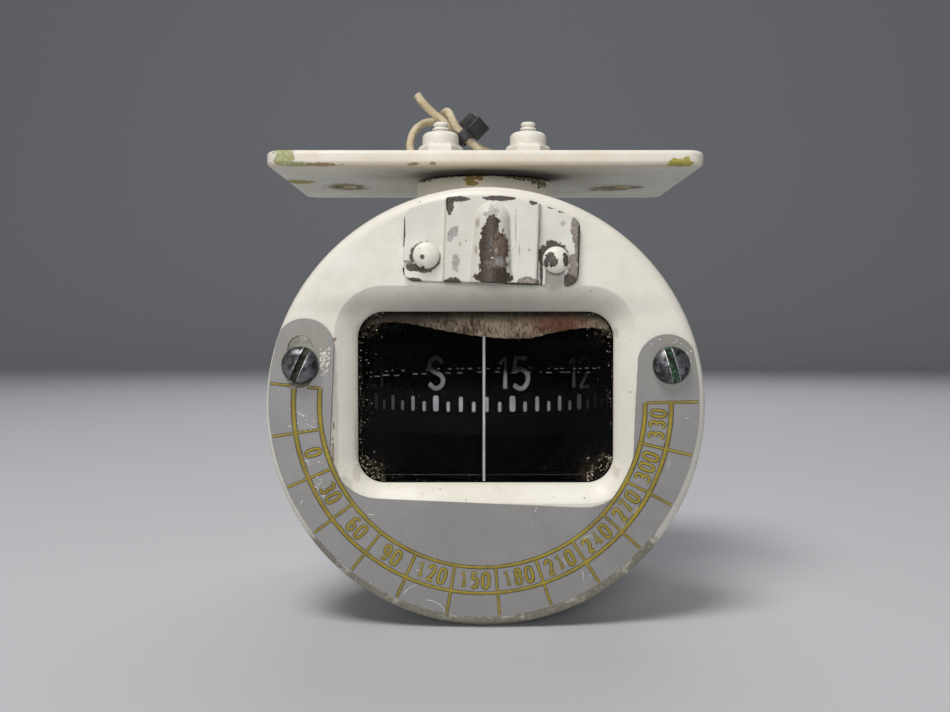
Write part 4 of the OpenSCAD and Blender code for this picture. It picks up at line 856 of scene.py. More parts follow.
def coverPaint():
    umber = {"colour": (0.03, 0.02, 0.014, 1), "second": (0.075, 0.052, 0.036, 1), "rough": 0.5,
             "ragged": 0.42, "grain": 1100.0, "depth": 0.25}
    # thin dark lines: chipped paint, and painted shadow along the cover's edges and round the left screw
    chipAndShadowLines = dict(umber, ragged=0.4, grain=1500.0)
    tan = {"colour": (0.2, 0.135, 0.095, 1), "second": (0.09, 0.062, 0.045, 1), "rough": 0.6, "ragged": 1.3,
           "grain": 1900.0, "streak": 0.35, "strength": 0.9}
    grey = {"colour": (0.2, 0.185, 0.17, 1), "second": (0.34, 0.32, 0.3, 1), "rough": 0.5, "ragged": 0.6,
            "grain": 1000.0, "depth": 0.15, "soft": 0.2, "strength": 0.85}
    pink = {"colour": (0.17, 0.135, 0.115, 1), "second": (0.29, 0.25, 0.225, 1), "rough": 0.6, "ragged": 0.6,
            "depth": 0.2}
    line = {"colour": (0.33, 0.26, 0.19, 1), "ragged": 0.6, "grain": 700.0, "soft": 0.4, "strength": 0.7}
    return paintFinish("coverPaint", [
        dict(grey, spots=facePatches(
            (-6.0, 34.0, 0.9, 1.1), (-6.9, 32.9, 0.6, 0.9), (-5.8, 27.9, 0.75, 1.6))),
        dict(grey, strength=0.75, ragged=0.9,
             spots=facePatches((1.3, 37.5, 0.9, 1.5), (0.4, 37.1, 1.0, 0.6))),
        dict(pink, spots=facePatches(
            (17.3, 34.4, 0.95, 2.6), (17.6, 31.2, 0.5, 1.8), (17.0, 28.6, 1.1, 1.3), (16.8, 25.9, 1.4, 1.9),
            (7.9, 24.3, 2.2, 0.9))),
        dict(line, spots=facePatches(
            (5.7, 34.6, 0.12, 3.4), (6.4, 30.2, 0.14, 1.4), (10.3, 34.5, 0.15, 1.6), (14.9, 35.6, 0.5, 0.5),
            (-5.0, 31.6, 0.25, 0.4), (8.3, 30.4, 0.3, 0.3), (-1.6, 35.4, 0.4, 0.9), (-1.9, 30.3, 0.3, 0.8))),
        dict(umber, spots=facePatches(
            (1.25, 35.2, 1.35, 1.7), (0.6, 33.4, 1.7, 1.8), (-0.1, 30.2, 1.25, 4.6), (2.5, 30.4, 1.9, 2.9),
            (1.4, 27.0, 2.9, 1.9), (1.4, 25.1, 3.7, 1.5))),
        dict(tan, spots=facePatches((2.7, 30.9, 1.5, 2.5), (2.2, 27.9, 1.9, 1.1))),
        dict(grey, strength=0.75, ragged=0.9, streak=0.5,
             spots=facePatches((2.7, 28.0, 1.1, 1.0), (1.9, 30.2, 0.3, 0.5))),
        dict(umber, spots=facePatches(
            (-6.9, 39.0, 0.8, 1.9), (16.0, 24.5, 1.7, 1.2), (13.0, 29.6, 2.9, 2.7), (-13.6, 27.3, 2.0, 0.9),
            (-14.2, 24.3, 2.0, 0.9))),
        # dark lines along the edges: chipped paint, with a painted shadow in the gap under the bottom edge
        # and down the left side
        dict(chipAndShadowLines, spots=facePatches(
            (-5.4, 40.1, 2.1, 0.55), (2.5, 40.25, 3.1, 0.5), (9.05, 39.6, 0.8, 0.6),
            (-15.85, 34.2, 0.35, 3.0), (-6.4, 24.2, 1.6, 0.9), (18.0, 29.5, 0.35, 6.5),
            (13.1, 38.7, 1.2, 0.3), (15.2, 37.9, 1.2, 0.3), (10.7, 26.2, 0.3, 3.0),
            (14.8, 25.2, 0.4, 1.6), (1.5, 23.75, 9.3, 0.4), (-16.0, 26.0, 0.35, 1.6))),
        # a ring of painted shade round the left screw head
        dict(chipAndShadowLines, ragged=0.14, spots=facePatches((-11.75, 29.1, 2.95, 2.95))),
    ], tone={"fresh": (0.64, 0.62, 0.56, 1), "aged": (0.52, 0.49, 0.42, 1), "speck": (0.12, 0.1, 0.07, 1)},
        ageing=0.45, speckShare=0.015)


makeLampCover()


def slottedHead(spec, slotTurn):
    # domed head with a slot, on a plain shank
    r, high, dome = spec["headD"] / 2, spec["headH"], spec["dome"]
    side = high - dome
    arc = [(r * math.cos(a), side + dome * math.sin(a)) for a in (math.pi / 2 * i / 12 for i in range(1, 12))]
    screw = turned([(spec["shankD"] / 2, -spec["shankL"]), (spec["shankD"] / 2, 0), (r * 0.97, 0), (r, 0.12),
                    (r, side)] + arc + [(r * 0.02, high)], 72)
    if spec["slotW"]:
        groove = block((spec["slotW"], 3 * r, 2 * spec["slotDepth"]), (0, 0, high))
        bake(groove, Matrix.Rotation(math.radians(slotTurn), 4, "Z"))
        cut(screw, groove)
        bevelSharp(screw, 0.1, 40)
    return screw


coverScrew = {"headD": 5.2, "headH": 1.6, "dome": 1.25, "shankD": 2.8, "shankL": 5.4, "slotW": 0,
              "pit": (0.95, 1.05, 0.5), "pitAt": (-0.75, -0.4)}


def makeCoverScrews():
    spec = lampCover
    pieces = []
    for side in (-1, 1):
        screw = slottedHead(coverScrew, 0)
        softened(screw, 0.14, 3)
        if side < 0:
            # a square pit in the paint
            cut(screw, block(coverScrew["pit"], (*coverScrew["pitAt"], coverScrew["headH"])))
            smoothAt(screw, 60)
        place = moved(spec["x"] + side * spec["spacing"] / 2, spec["low"] + spec["screwUp"], spec["tab"])
        bake(screw, boardFrame @ coverTurn @ place)
        pieces.append(screw)
    screws = joinPieces(pieces, "lamp_screws")
    settle(screws, "case", "painted_case", coverScrewPaint(), "lamp_cover_screws")


def coverScrewPaint():
    umber = {"colour": (0.05, 0.038, 0.03, 1), "second": (0.1, 0.085, 0.075, 1), "rough": 0.5, "ragged": 0.5,
             "grain": 1300.0, "depth": 0.2}
    return paintFinish("coverScrewPaint", [
        dict(umber, spots=facePatches(
            (12.4, 29.0, 0.95, 1.0), (13.0, 28.0, 0.9, 0.9), (11.6, 28.0, 0.5, 0.8),
            (15.25, 28.6, 0.55, 1.3))),
        dict(umber, ragged=0.2, spots=facePatches((-12.2, 29.05, 0.42, 0.48), (-12.1, 27.1, 0.35, 0.3))),
    ], ageing=0.35, speckShare=0.06)


makeCoverScrews()
print("lamp cover made")


# correction plate, swung about its right screw

corrPlate = {
    "r": 41.8, "drop": 0.5, "thick": 0.8, "stand": 0.05, "screw": faceBezel["plateScrew"],
    "ear": (29.45, 40.95, 14.25), "opening": (29.5, -20.2, 9.5), "pivotHole": 2.15, "slot": 5.2,
    "slotTravel": 5.0018, "turn": 2.5, "ringAt": (-0.3, -1.1), "innerR": 31.55, "midR": 36.6,
    "cell": 14.37, "cells": 13, "arcW": 0.56, "arcSwell": 0.4, "lineW": 0.44, "figureH": 2.85,
    "figureW": 1.1, "figureStroke": 0.56, "figureStep": 2.15, "slotGap": (34.1, 37.2), "arcShort": 0.7,
    "grooveMore": 0.24, "grooveFlat": 0.06, "fillFlat": 0.16, "lineShort": 0.25,
}
plateTurn = turnAbout(*corrPlate["screw"], -corrPlate["turn"])


def makePlate():
    spec = corrPlate
    x, y = spec["screw"]
    plate = disc(spec["r"], spec["thick"], (0, -spec["drop"], spec["stand"]), 256)
    keep = block((100, 100, 20), (0, y - 50, 0))
    inner, outer, top = spec["ear"]
    wide = outer - inner
    for side in (-1, 1):
        ear = roundBlock(wide, 20, wide / 2.01, 20, (side * (inner + outer) / 2, top - 10, -10))
        combine(keep, ear, "UNION")
    combine(plate, keep, "INTERSECT")
    half, low, corner = spec["opening"]
    cut(plate, roundBlock(2 * half, 80, corner, 20, (0, low + 40, -10)))
    cut(plate, disc(spec["pivotHole"], 20, (x, y, -10), 48))
    slot, travel = spec["slot"], spec["slotTravel"]
    cut(plate, roundBlock(slot, slot + travel, slot / 2.001, 20, (-x, y - travel / 2, -10)))
    bevelSharp(plate, 0.14, 50)
    named("correction_ring")
    bake(plate, boardFrame @ plateTurn)
    keepFlat(plate, 40)
    settle(plate, "correction_plate", "correction_metal", plateMetal(), "correction_plate")


def plateMetal():
    # brushed alloy, dulled and scratched
    material, tree, shader, place = newFinish("plateMetal", Metallic=0.35, Specular_IOR_Level=0.4)
    brushing = addNode(tree, "ShaderNodeMapping", {"Vector": place, "Scale": (900.0, 30.0, 25.0)}).outputs[0]
    lines = noise(tree, brushing, 6.0, 4.0, 0.6)
    age = mottle(tree, place, 70.0)
    specks = dots(tree, place, 1100.0, 0.16, 0.06)
    colour = tint(tree, lines, (0.215, 0.209, 0.206, 1), (0.3, 0.292, 0.287, 1))
    colour = tint(tree, times(tree, age, 0.4), colour, (0.18, 0.169, 0.16, 1))
    colour = tint(tree, times(tree, specks, 0.6), colour, (0.14, 0.12, 0.1, 1))
    pale = dots(tree, place, 1700.0, 0.2, 0.05)
    colour = tint(tree, times(tree, pale, 0.5), colour, (0.62, 0.6, 0.57, 1))
    x, y = corrPlate["screw"]
    byScrews = facePatches((x, y + 0.5, 5.2, 5.6), (-x + 1, y + 2.6, 5.0, 6.2))
    worn = blots(tree, place, byScrews, 0.6, 700.0, 0.3)
    colour = tint(tree, times(tree, worn, 0.45), colour, (0.26, 0.245, 0.19, 1))
    feed(shader, "Base Color", colour)
    feed(shader, "Roughness", stretch(tree, lines, 0.2, 0.8, 0.42, 0.6))
    addBump(tree, shader, lines, 0.12, 0.0001)
    return material


makePlate()


# engraved figures as strokes: each glyph is a list of (kind, points),
# where kind is c for a curve, o for a closed curve and s for straight lines

glyphs = {
    "0": [("o", [(0.0, 0.76), (0.09, 0.94), (0.3, 1.0), (0.51, 0.94), (0.6, 0.76), (0.6, 0.24), (0.51, 0.06),
                 (0.3, 0.0), (0.09, 0.06), (0.0, 0.24)])],
    "1": [("s", [(0.12, 0.8), (0.34, 1.0), (0.34, 0.0)])],
    "2": [("c", [(0.02, 0.74), (0.1, 0.94), (0.31, 1.0), (0.53, 0.9), (0.57, 0.68), (0.42, 0.42),
                 (0.02, 0.0)]), ("s", [(0.02, 0.0), (0.6, 0.0)])],
    "3": [("c", [(0.03, 0.84), (0.28, 1.0), (0.54, 0.86), (0.5, 0.62), (0.24, 0.53)]),
          ("c", [(0.24, 0.53), (0.52, 0.44), (0.58, 0.22), (0.32, 0.0), (0.0, 0.14)])],
    "4": [("s", [(0.46, 0.0), (0.46, 1.0), (0.0, 0.28), (0.64, 0.28)])],
    "5": [("s", [(0.55, 1.0), (0.1, 1.0), (0.05, 0.56)]),
          ("c", [(0.05, 0.56), (0.3, 0.64), (0.55, 0.5), (0.57, 0.2), (0.32, 0.0), (0.02, 0.12)])],
    "6": [("c", [(0.53, 0.9), (0.32, 1.0), (0.08, 0.8), (0.02, 0.4), (0.1, 0.1), (0.32, 0.0), (0.55, 0.12),
                 (0.58, 0.38), (0.4, 0.56), (0.18, 0.52), (0.04, 0.36)])],
    "7": [("s", [(0.0, 1.0), (0.58, 1.0), (0.2, 0.0)])],
    "8": [("o", [(0.3, 1.0), (0.05, 0.77), (0.3, 0.54), (0.55, 0.77)]),
          ("o", [(0.3, 0.54), (0.0, 0.27), (0.3, 0.0), (0.6, 0.27)])],
    "9": [("c", [(0.07, 0.1), (0.28, 0.0), (0.52, 0.2), (0.58, 0.6), (0.5, 0.9), (0.28, 1.0), (0.05, 0.88),
                 (0.02, 0.62), (0.2, 0.44), (0.42, 0.48), (0.56, 0.64)])],
    "S": [("c", [(0.57, 0.84), (0.32, 1.0), (0.05, 0.84), (0.1, 0.62), (0.32, 0.51), (0.55, 0.38),
                 (0.57, 0.16), (0.3, 0.0), (0.01, 0.15)])],
    "N": [("s", [(0.0, 0.0), (0.0, 1.0), (0.58, 0.0), (0.58, 1.0)])],
    "E": [("s", [(0.56, 1.0), (0.0, 1.0), (0.0, 0.0), (0.56, 0.0)]), ("s", [(0.0, 0.52), (0.46, 0.52)])],
    "W": [("s", [(0.0, 1.0), (0.17, 0.0), (0.36, 0.8), (0.55, 0.0), (0.72, 1.0)])],
}


def strokeMesh(strokes, width, flatness, name):
    # rounded strokes as a flattened mesh; strokes are (kind, points) in millimetres,
    # and a third number widens a point
    clearSelection()
    bpy.ops.curve.primitive_bezier_curve_add()
    piece = named(name)
    curve = piece.data
    curve.splines.clear()
    curve.dimensions = "3D"
    curve.bevel_depth = width / 2 * mm
    curve.bevel_resolution = 2
    curve.resolution_u = 4
    curve.use_fill_caps = True
    for kind, points in strokes:
        spline = curve.splines.new("BEZIER")
        spline.bezier_points.add(len(points) - 1)
        spline.use_cyclic_u = kind == "o"
        for knot, (x, y, *swell) in zip(spline.bezier_points, points):
            knot.co = (x * mm, y * mm, 0)
            knot.radius = 1 + sum(swell)
            knot.handle_left_type = knot.handle_right_type = "VECTOR" if kind == "s" else "AUTO"
    activate(piece)
    bpy.ops.object.convert(target="MESH")
    piece = bpy.context.object
    piece.scale = (1, 1, flatness)
    bake(piece)
    cleanNormals(piece)
    return piece


def figureStrokes(text, spec, place=lambda x, y: (x, y)):
    # the strokes of a word of figures, its middle at the origin, carried by place(x, y)
    height, width, step = spec["figureH"], spec["figureW"], spec["figureStep"]
    total = step * (len(text) - 1) + width
    strokes = []
    for index, letter in enumerate(text):
        for kind, points in glyphs[letter]:
            strokes.append((kind, [place(px / 0.6 * width + index * step - total / 2, (py - 0.5) * height)
                                   for px, py in points]))
    return strokes


def ringPlace(angle, radius):
    # a place on the plate's ring, counted from straight down, to the right
    turn = math.radians(angle)
    x, y = corrPlate["ringAt"]
    return x + radius * math.sin(turn), y - radius * math.cos(turn)


def ringReach(angle):
    # how far a line of the ring runs to the plate's rim
    away = Vector(corrPlate["ringAt"]) + Vector((0, corrPlate["drop"]))
    along = away.dot(Vector((math.sin(math.radians(angle)), -math.cos(math.radians(angle)))))
    return math.sqrt(along ** 2 + corrPlate["r"] ** 2 - away.length_squared) - along - corrPlate["lineShort"]


def makePlateMarks():
    spec = corrPlate
    start = -spec["cell"] * spec["cells"] / 2
    arcs, lines = [], []
    # the arcs are cut wider towards their ends
    angles = [start + spec["cell"] * i / 6 for i in range(6 * spec["cells"] + 1)]
    # the first line and the middle arc stop short of the slot in the left ear
    for radius, first in ((spec["innerR"], start), (spec["midR"], start + spec["arcShort"])):
        arcs.append(("c", [(*ringPlace(angle, radius), spec["arcSwell"] * math.sin(math.radians(angle)) ** 2)
                           for angle in [first] + angles[1:]]))
    for index in range(spec["cells"] + 1):
        angle = start + spec["cell"] * index
        stop, on = (spec["midR"], spec["midR"]) if index else spec["slotGap"]
        lines.append(("s", [ringPlace(angle, spec["innerR"]), ringPlace(angle, stop)]))
        lines.append(("s", [ringPlace(angle, on), ringPlace(angle, ringReach(angle))]))
    figures = []
    middle = (spec["innerR"] + spec["midR"]) / 2
    for index in range(1, spec["cells"]):
        angle = start + spec["cell"] * (index + 0.5)
        cx, cy = ringPlace(angle, middle)
        turn = math.radians(angle)
        cos, sin = math.cos(turn), math.sin(turn)

        def onRing(x, y):
            # the figures' tops point to the middle of the face
            return cx + x * cos - y * sin, cy + x * sin + y * cos

        figures += figureStrokes(str(30 * (index - 1)), spec, onRing)
    onPlate = boardFrame @ plateTurn @ moved(0, 0, spec["stand"] + spec["thick"])
    # under each yellow stroke a wider dark strip: painted shadow at the edges of the engraved groove
    edge, fill = grooveShadowFinish(), fillFinish()
    for name, strokes, width in (("plate_arcs", arcs, spec["arcW"]), ("plate_lines", lines, spec["lineW"]),
                                 ("plate_figures", figures, spec["figureStroke"])):
        under = strokeMesh(strokes, width + spec["grooveMore"], spec["grooveFlat"], name + "_edge")
        over = strokeMesh(strokes, width, spec["fillFlat"], name)
        for piece, material in ((under, edge), (over, fill)):
            bake(piece, onPlate)
            smoothAt(piece, 60)
            settle(piece, "correction_plate", "correction_metal", material)


def grooveShadowFinish():
    # dark brown for the painted shadow along the grooves' edges
    material, tree, shader, place = newFinish("grooveShadow", Roughness=0.7)
    age = mottle(tree, place, 300.0)
    feed(shader, "Base Color", tint(tree, age, (0.035, 0.03, 0.014, 1), (0.13, 0.115, 0.075, 1)))
    return material


def fillFinish():
    # olive yellow enamel in the engraving, worn in places
    material, tree, shader, place = newFinish("grooveFill", Roughness=0.55)
    age = mottle(tree, place, 220.0, 0.18)
    worn = stretch(tree, noise(tree, place, 420.0, 5.0, 0.65), 0.6, 0.7)
    colour = tint(tree, age, (0.31, 0.232, 0.004, 1), (0.19, 0.14, 0.006, 1))
    feed(shader, "Base Color", tint(tree, worn, colour, (0.15, 0.125, 0.05, 1)))
    addBump(tree, shader, noise(tree, place, 1500.0), 0.2, 0.0001)
    return material


makePlateMarks()


# scratches, and flakes of old paint round the slot and the first cells

plateWear = {
    "scratchW": 0.1,
    "scratches": [
        [(-11.6, -37.4), (-10.1, -37.7), (-8.8, -38.5), (-7.8, -39.7)],
        [(-16.0, -36.2), (-14.9, -35.1), (-13.4, -34.4)],
        [(10.0, -19.3), (9.5, -20.2)], [(4.4, -30.6), (5.3, -30.8)], [(-13.5, -31.5), (-12.5, -31.9)],
        [(15.1, -29.4), (15.8, -30.5)], [(18.9, -32.0), (18.9, -33.6)], [(18.6, -25.5), (20.4, -24.8)],
        [(-38.0, -0.3), (-36.8, -0.2)], [(-36.5, -0.7), (-35.8, -1.2), (-35.1, -1.6)],
        [(-34.8, -3.0), (-34.1, -3.5), (-33.0, -4.0)], [(-38.4, -3.7), (-37.7, -3.5)],
        [(-35.6, -18.0), (-36.0, -18.8)], [(-22.9, -20.8), (-22.2, -20.7), (-21.7, -20.9)],
        [(35.7, -10.2), (35.5, -11.0), (35.3, -12.0)], [(26.0, -24.0), (28.2, -21.4), (29.6, -19.2)],
        [(-28.9, -29.8), (-28.2, -29.9)], [(38.6, -2.2), (39.3, -1.8)],
    ],
    # middle, half width, half height, how many, largest size
    "flakes": [(-31.2, 8.9, 0.9, 2.6, 46, 0.4), (-33.2, -10.4, 1.9, 0.8, 14, 0.2),
               (-32.2, -15.2, 0.9, 2.2, 18, 0.22), (-35.5, -2.5, 2.5, 2.0, 12, 0.2),
               (-12.0, -33.5, 14, 4.0, 16, 0.16), (20, -24, 12, 9, 12, 0.16),
               (35.5, 12.6, 3.6, 0.8, 10, 0.22), (39.0, 10.5, 0.7, 1.6, 8, 0.24)],
    "seed": 11,
}


def makeFlake(seed):
    # a crumpled flat crumb of few faces
    clearSelection()
    bpy.ops.mesh.primitive_ico_sphere_add(subdivisions=1, radius=1)
    flake = bpy.context.object
    bpy.ops.object.mode_set(mode="EDIT")
    bpy.ops.transform.vertex_random(offset=0.45, seed=seed)
    bpy.ops.transform.resize(value=(1, 1, 0.4))
    leaveEdit()
    return flake


def scatterFlakes(places, name):
    # copies of three crumbs at (x, y, size, turn) on the face's board, as one piece
    patterns = [makeFlake(seed) for seed in (3, 5, 9)]
    flakes = []
    for index, (x, y, size, turn) in enumerate(places):
        flake = duplicate(patterns[index % 3])
        shape = Matrix.Diagonal((size * mm, size * 0.7 * mm, size * 0.5 * mm, 1))
        flake.matrix_world = moved(x, y) @ Matrix.Rotation(turn, 4, "Z") @ shape
        flakes.append(flake)
    for pattern in patterns:
        bpy.data.objects.remove(pattern)
    bpy.context.view_layer.update()
    piece = joinPieces(flakes, name)
    bake(piece)
    return piece


def flakeFinish(name, light, dark):
    material, tree, shader, place = newFinish(name, Roughness=0.85, Specular_IOR_Level=0.2)
    age = mottle(tree, place, 900.0, 0.15)
    feed(shader, "Base Color", tint(tree, age, light, dark))
    addBump(tree, shader, noise(tree, place, 4000.0), 0.3, 0.0001)
    return material


def makePlateWear():
    spec = plateWear
    onPlate = boardFrame @ moved(0, 0, corrPlate["stand"] + corrPlate["thick"])
    lines = strokeMesh([("c", points) for points in spec["scratches"]], spec["scratchW"], 0.3,
                       "plate_scratches")
    bake(lines, onPlate)
    bright = wornMetal("scratchMetal", (0.75, 0.74, 0.72, 1), (0.55, 0.54, 0.52, 1), (0.35, 0.5), 0.3)
    settle(lines, "correction_plate", "correction_metal", bright)
    chance = random.Random(spec["seed"])
    places = []
    for x, y, halfX, halfY, count, largest in spec["flakes"]:
        for _ in range(count):
            places.append((x + chance.uniform(-halfX, halfX), y + chance.uniform(-halfY, halfY),
                           largest * chance.uniform(0.35, 1.0), chance.uniform(0, math.pi)))
    crumbs = scatterFlakes(places, "plate_crumbs")
    bake(crumbs, onPlate)
    finish = flakeFinish("plateCrumbs", (0.72, 0.7, 0.65, 1), (0.42, 0.4, 0.36, 1))
    settle(crumbs, "correction_plate", "painted_case", finish)


makePlateWear()
print("correction plate made")


# screws of the correction plate

plateScrew = {"headD": 7.2, "headH": 2.5, "dome": 1.9, "shankD": 4.2, "shankL": 5.85, "slotW": 1.25,
              "slotDepth": 1.3, "lift": 0.1}


def plateScrewFinish(name, middle, lean, crust):
    # blackened steel with a light line along the slot's edges, partly rubbed metal and partly a painted
    # highlight, and dirt in the slot
    material, tree, shader, place = newFinish(name)
    age = mottle(tree, place, 420.0, 0.18)
    specks = dots(tree, place, 2400.0, 0.3, 0.08)
    colour = tint(tree, age, (0.3, 0.308, 0.325, 1), (0.06, 0.062, 0.066, 1))
    stained = stretch(tree, noise(tree, place, 330.0, 5.0, 0.65), 0.5, 0.62, 0.0, 0.85)
    colour = tint(tree, stained, colour, (0.02, 0.022, 0.022, 1))
    colour = tint(tree, times(tree, specks, 0.6), colour, (0.34, 0.32, 0.29, 1))
    away = vectorMaths(tree, "SUBTRACT", place, tuple(middle))[0]
    way = (math.cos(math.radians(lean)), 0.0, math.sin(math.radians(lean)))
    across = maths(tree, "ABSOLUTE", vectorMaths(tree, "DOT_PRODUCT", away, way)["Value"])
    half = plateScrew["slotW"] / 2 * mm
    crumbly = noise(tree, place, 1700.0, 4.0, 0.6)
    slot = stretch(tree, plus(tree, across, times(tree, crumbly, 0.15 * mm)), half + 0.16 * mm,
                   half + 0.04 * mm)
    # light line along both edges of the slot: rubbed metal, partly a painted highlight
    fromEdge = maths(tree, "ABSOLUTE", minus(tree, across, half + 0.12 * mm))
    rubbedAndHighlit = times(tree, stretch(tree, fromEdge, 0.1 * mm, 0.03 * mm), stretch(tree, age, 0.35, 0.6))
    colour = tint(tree, times(tree, rubbedAndHighlit, 0.8), colour, (0.62, 0.62, 0.58, 1))
    dirt = tint(tree, stretch(tree, crumbly, 0.45, 0.62), (0.01, 0.012, 0.009, 1), crust)
    feed(shader, "Base Color", tint(tree, slot, colour, dirt))
    feed(shader, "Metallic", minus(tree, 0.95, times(tree, slot, 0.95)))
    rough = stretch(tree, age, 0.0, 1.0, 0.34, 0.5)
    feed(shader, "Roughness", plus(tree, rough, times(tree, slot, 0.5)))
    addBump(tree, shader, plus(tree, noise(tree, place, 1600.0), times(tree, slot, crumbly)), 0.15, 0.0001)
    return material


def makePlateScrews():
    x, y = corrPlate["screw"]
    lift = corrPlate["stand"] * 2 + corrPlate["thick"] + plateScrew["lift"]
    for name, side, lean, crust, node in (
            ("slot_bolt", -1, -25, (0.06, 0.068, 0.042, 1), "plate_slot_screw"),
            ("pivot_bolt", 1, 16, (0.035, 0.115, 0.06, 1), "plate_pivot_screw")):
        screw = slottedHead(plateScrew, lean)
        smoothAt(screw, 35)
        named(name)
        bake(screw, boardFrame @ moved(side * x, y, lift))
        finish = plateScrewFinish(name + "Finish", onBoard(side * x, y), lean, crust)
        settle(screw, "case", "dark_screw", finish, node)


makePlateScrews()
print("plate screws made")


# the card behind the window: ticks and figures on the drum

cardDrum = {
    "r": 30.0, "axisY": -8.4, "heading": 160.5, "tickLow": -52.76, "figureMiddle": -45.0, "figureH": 6.2,
    "figureW": 3.1, "figureStep": 3.4, "figureStroke": 0.9, "tickGrey": 0.34, "figureGrey": 0.23,
    "liquid": -44.3, "tickThick": 0.1, "tickLift": 0.01,
    "ticks": {30: (1.15, -49.54), 10: (0.75, -49.74), 5: (0.65, -50.75)},
    "labels": ["N", "3", "6", "E", "12", "15", "S", "21", "24", "W", "30", "33"],
}


def cardTurnAt(heading):
    # turns a form made at the front of the card to the place of a heading
    turn = math.radians(cardDrum["heading"] - heading)
    return moved(0, cardDrum["axisY"]) @ Matrix.Rotation(turn, 4, "Z")


def makeTick(width, top):
    # a rounded bar standing just off the drum
    spec = cardDrum
    high, middle = top - spec["tickLow"], (top + spec["tickLow"]) / 2
    tick = block((width, spec["tickThick"], high), (0, -(spec["r"] + spec["tickLift"]), middle))
    pick(tick, "edges", lambda e: abs(edgeMiddle(tick, e).x) > width * 0.4 * mm
         and abs(edgeMiddle(tick, e).z - middle * mm) > high * 0.4 * mm)
    bpy.ops.mesh.bevel(offset=width * 0.42 * mm, segments=4, affect="EDGES")
    leaveEdit()
    return tick


def makeCardMarks():
    spec = cardDrum
    patterns = {size: makeTick(*shape) for size, shape in spec["ticks"].items()}
    marks = []
    for heading in range(0, 360, 5):
        size = next(step for step in (30, 10, 5) if heading % step == 0)
        tick = duplicate(patterns[size])
        bake(tick, cardTurnAt(heading))
        marks.append(tick)
    for pattern in patterns.values():
        bpy.data.objects.remove(pattern)
    ticks = joinPieces(marks, "card_marks")
    settle(ticks, "compass_card", "lubber_white", markFinish("cardMarks", spec["tickGrey"]))

    words = []
    for index, label in enumerate(spec["labels"]):
        strokes = figureStrokes(label, spec)
        word = strokeMesh(strokes, spec["figureStroke"], 0.12, "word")
        for vertex in word.data.vertices:
            x, y, z = vertex.co
            out = spec["r"] * mm + z
            vertex.co = (out * math.sin(x / (spec["r"] * mm)), -out * math.cos(x / (spec["r"] * mm)), y)
        bake(word, cardTurnAt(30 * index) @ moved(0, 0, spec["figureMiddle"]))
        words.append(word)
    figures = joinPieces(words, "card_figures")
    smoothAt(figures, 60)
    finish = markFinish("cardFigures", spec["figureGrey"], spec["liquid"] * mm)
    settle(figures, "compass_card", "lubber_white", finish)


def markFinish(name, level, dimAbove=0.0):
    # luminous paint gone grey, dimmer above the height where the liquid has sunk to
    material, tree, shader, place = newFinish(name, Roughness=0.8, Specular_IOR_Level=0.1)
    age = mottle(tree, place, 420.0)
    colour = tint(tree, age, (level, level * 1.02, level * 1.06, 1),
                  (level * 0.7, level * 0.72, level * 0.76, 1))
    height = axesOf(tree, place)[2]
    above = stretch(tree, height, dimAbove - 0.15 * mm, dimAbove + 0.15 * mm, 0.0, 0.72)
    feed(shader, "Base Color", tint(tree, above, colour, (0.02, 0.02, 0.021, 1)))
    return material


makeCardMarks()
print("card marks made")


# what shows on and behind the glass

windowFront = {"x": 25.2, "top": -32.6, "low": -66.4, "corner": 5.2, "glassFront": -42.4}
lubberWire = {"x": -0.3, "top": -37.5, "low": -66.6, "y": -39.25, "w": 0.5, "thick": 0.28, "edge": 0.1}
driedCurtain = {
    "y": -39.3, "wave": 0.06, "thick": 0.06, "half": 25.1, "ease": 0.8, "ripple": 0.07, "rippleTurn": 2.7,
    "edge": [(-25.2, -36.4), (-22.0, -35.0), (-19.1, -34.6), (-15.0, -35.0), (-11.1, -35.8), (-6.0, -36.8),
             (-0.5, -37.6), (5.1, -38.0), (9.1, -37.9), (13.1, -36.9), (17.2, -36.1), (21.2, -35.7),
             (25.2, -36.3)],
}
levelMarks = {"rows": [(-43.9, 0.45, 0.55), (-44.75, 0.75, 0.8)], "span": (-23.0, 24.0), "step": 2.25,
              "dashW": 0.19, "lineW": 0.1, "y": -39.25, "lineZ": -65.3, "lineHalf": 20.5, "sag": 0.0011,
              "sagFrom": 4, "clearOfWire": 0.8, "dashGrey": 0.16, "lineGrey": 0.06, "seed": 4}
shadeAndCrustFilm = {"y": -38.85, "half": (25.3, 17.0), "corner": 5.3, "level": -44.75}
glassDust = {
    "seed": 7, "near": 0.15, "far": 4.5, "lift": 0.04, "sideZ": (-61.5, -37.5), "bottomX": 20, "scatterX": 24,
    "scatterZ": (-65, -38), "scatter": (20, 0.11),
    # how many, how far in on average, largest size
    "left": (56, 0.8, 0.17), "right": (22, 0.8, 0.16), "bottom": (14, 0.5, 0.14), "lowLeft": (60, 0.9, 0.18),
    "lowRight": (66, 0.9, 0.18), "topRight": (30, 0.9, 0.18), "topLeft": (16, 0.9, 0.18),
}


def makeLubber():
    spec = lubberWire
    high = spec["top"] - spec["low"]
    wire = block((spec["w"], spec["thick"], high), (spec["x"], spec["y"], spec["low"] + high / 2))
    pick(wire, "edges", lambda e: edgeMiddle(wire, e).y < spec["y"] * mm)
    bpy.ops.mesh.bevel(offset=spec["edge"] * mm, segments=3, affect="EDGES")
    leaveEdit()
    named("lubber_wire")
    smoothAt(wire, 50)
    finish = dullPlastic("lubberPaint", (0.46, 0.46, 0.46, 1), (0.33, 0.33, 0.335, 1), (0.5, 0.7))
    settle(wire, "case", "lubber_white", finish, "lubber_line")


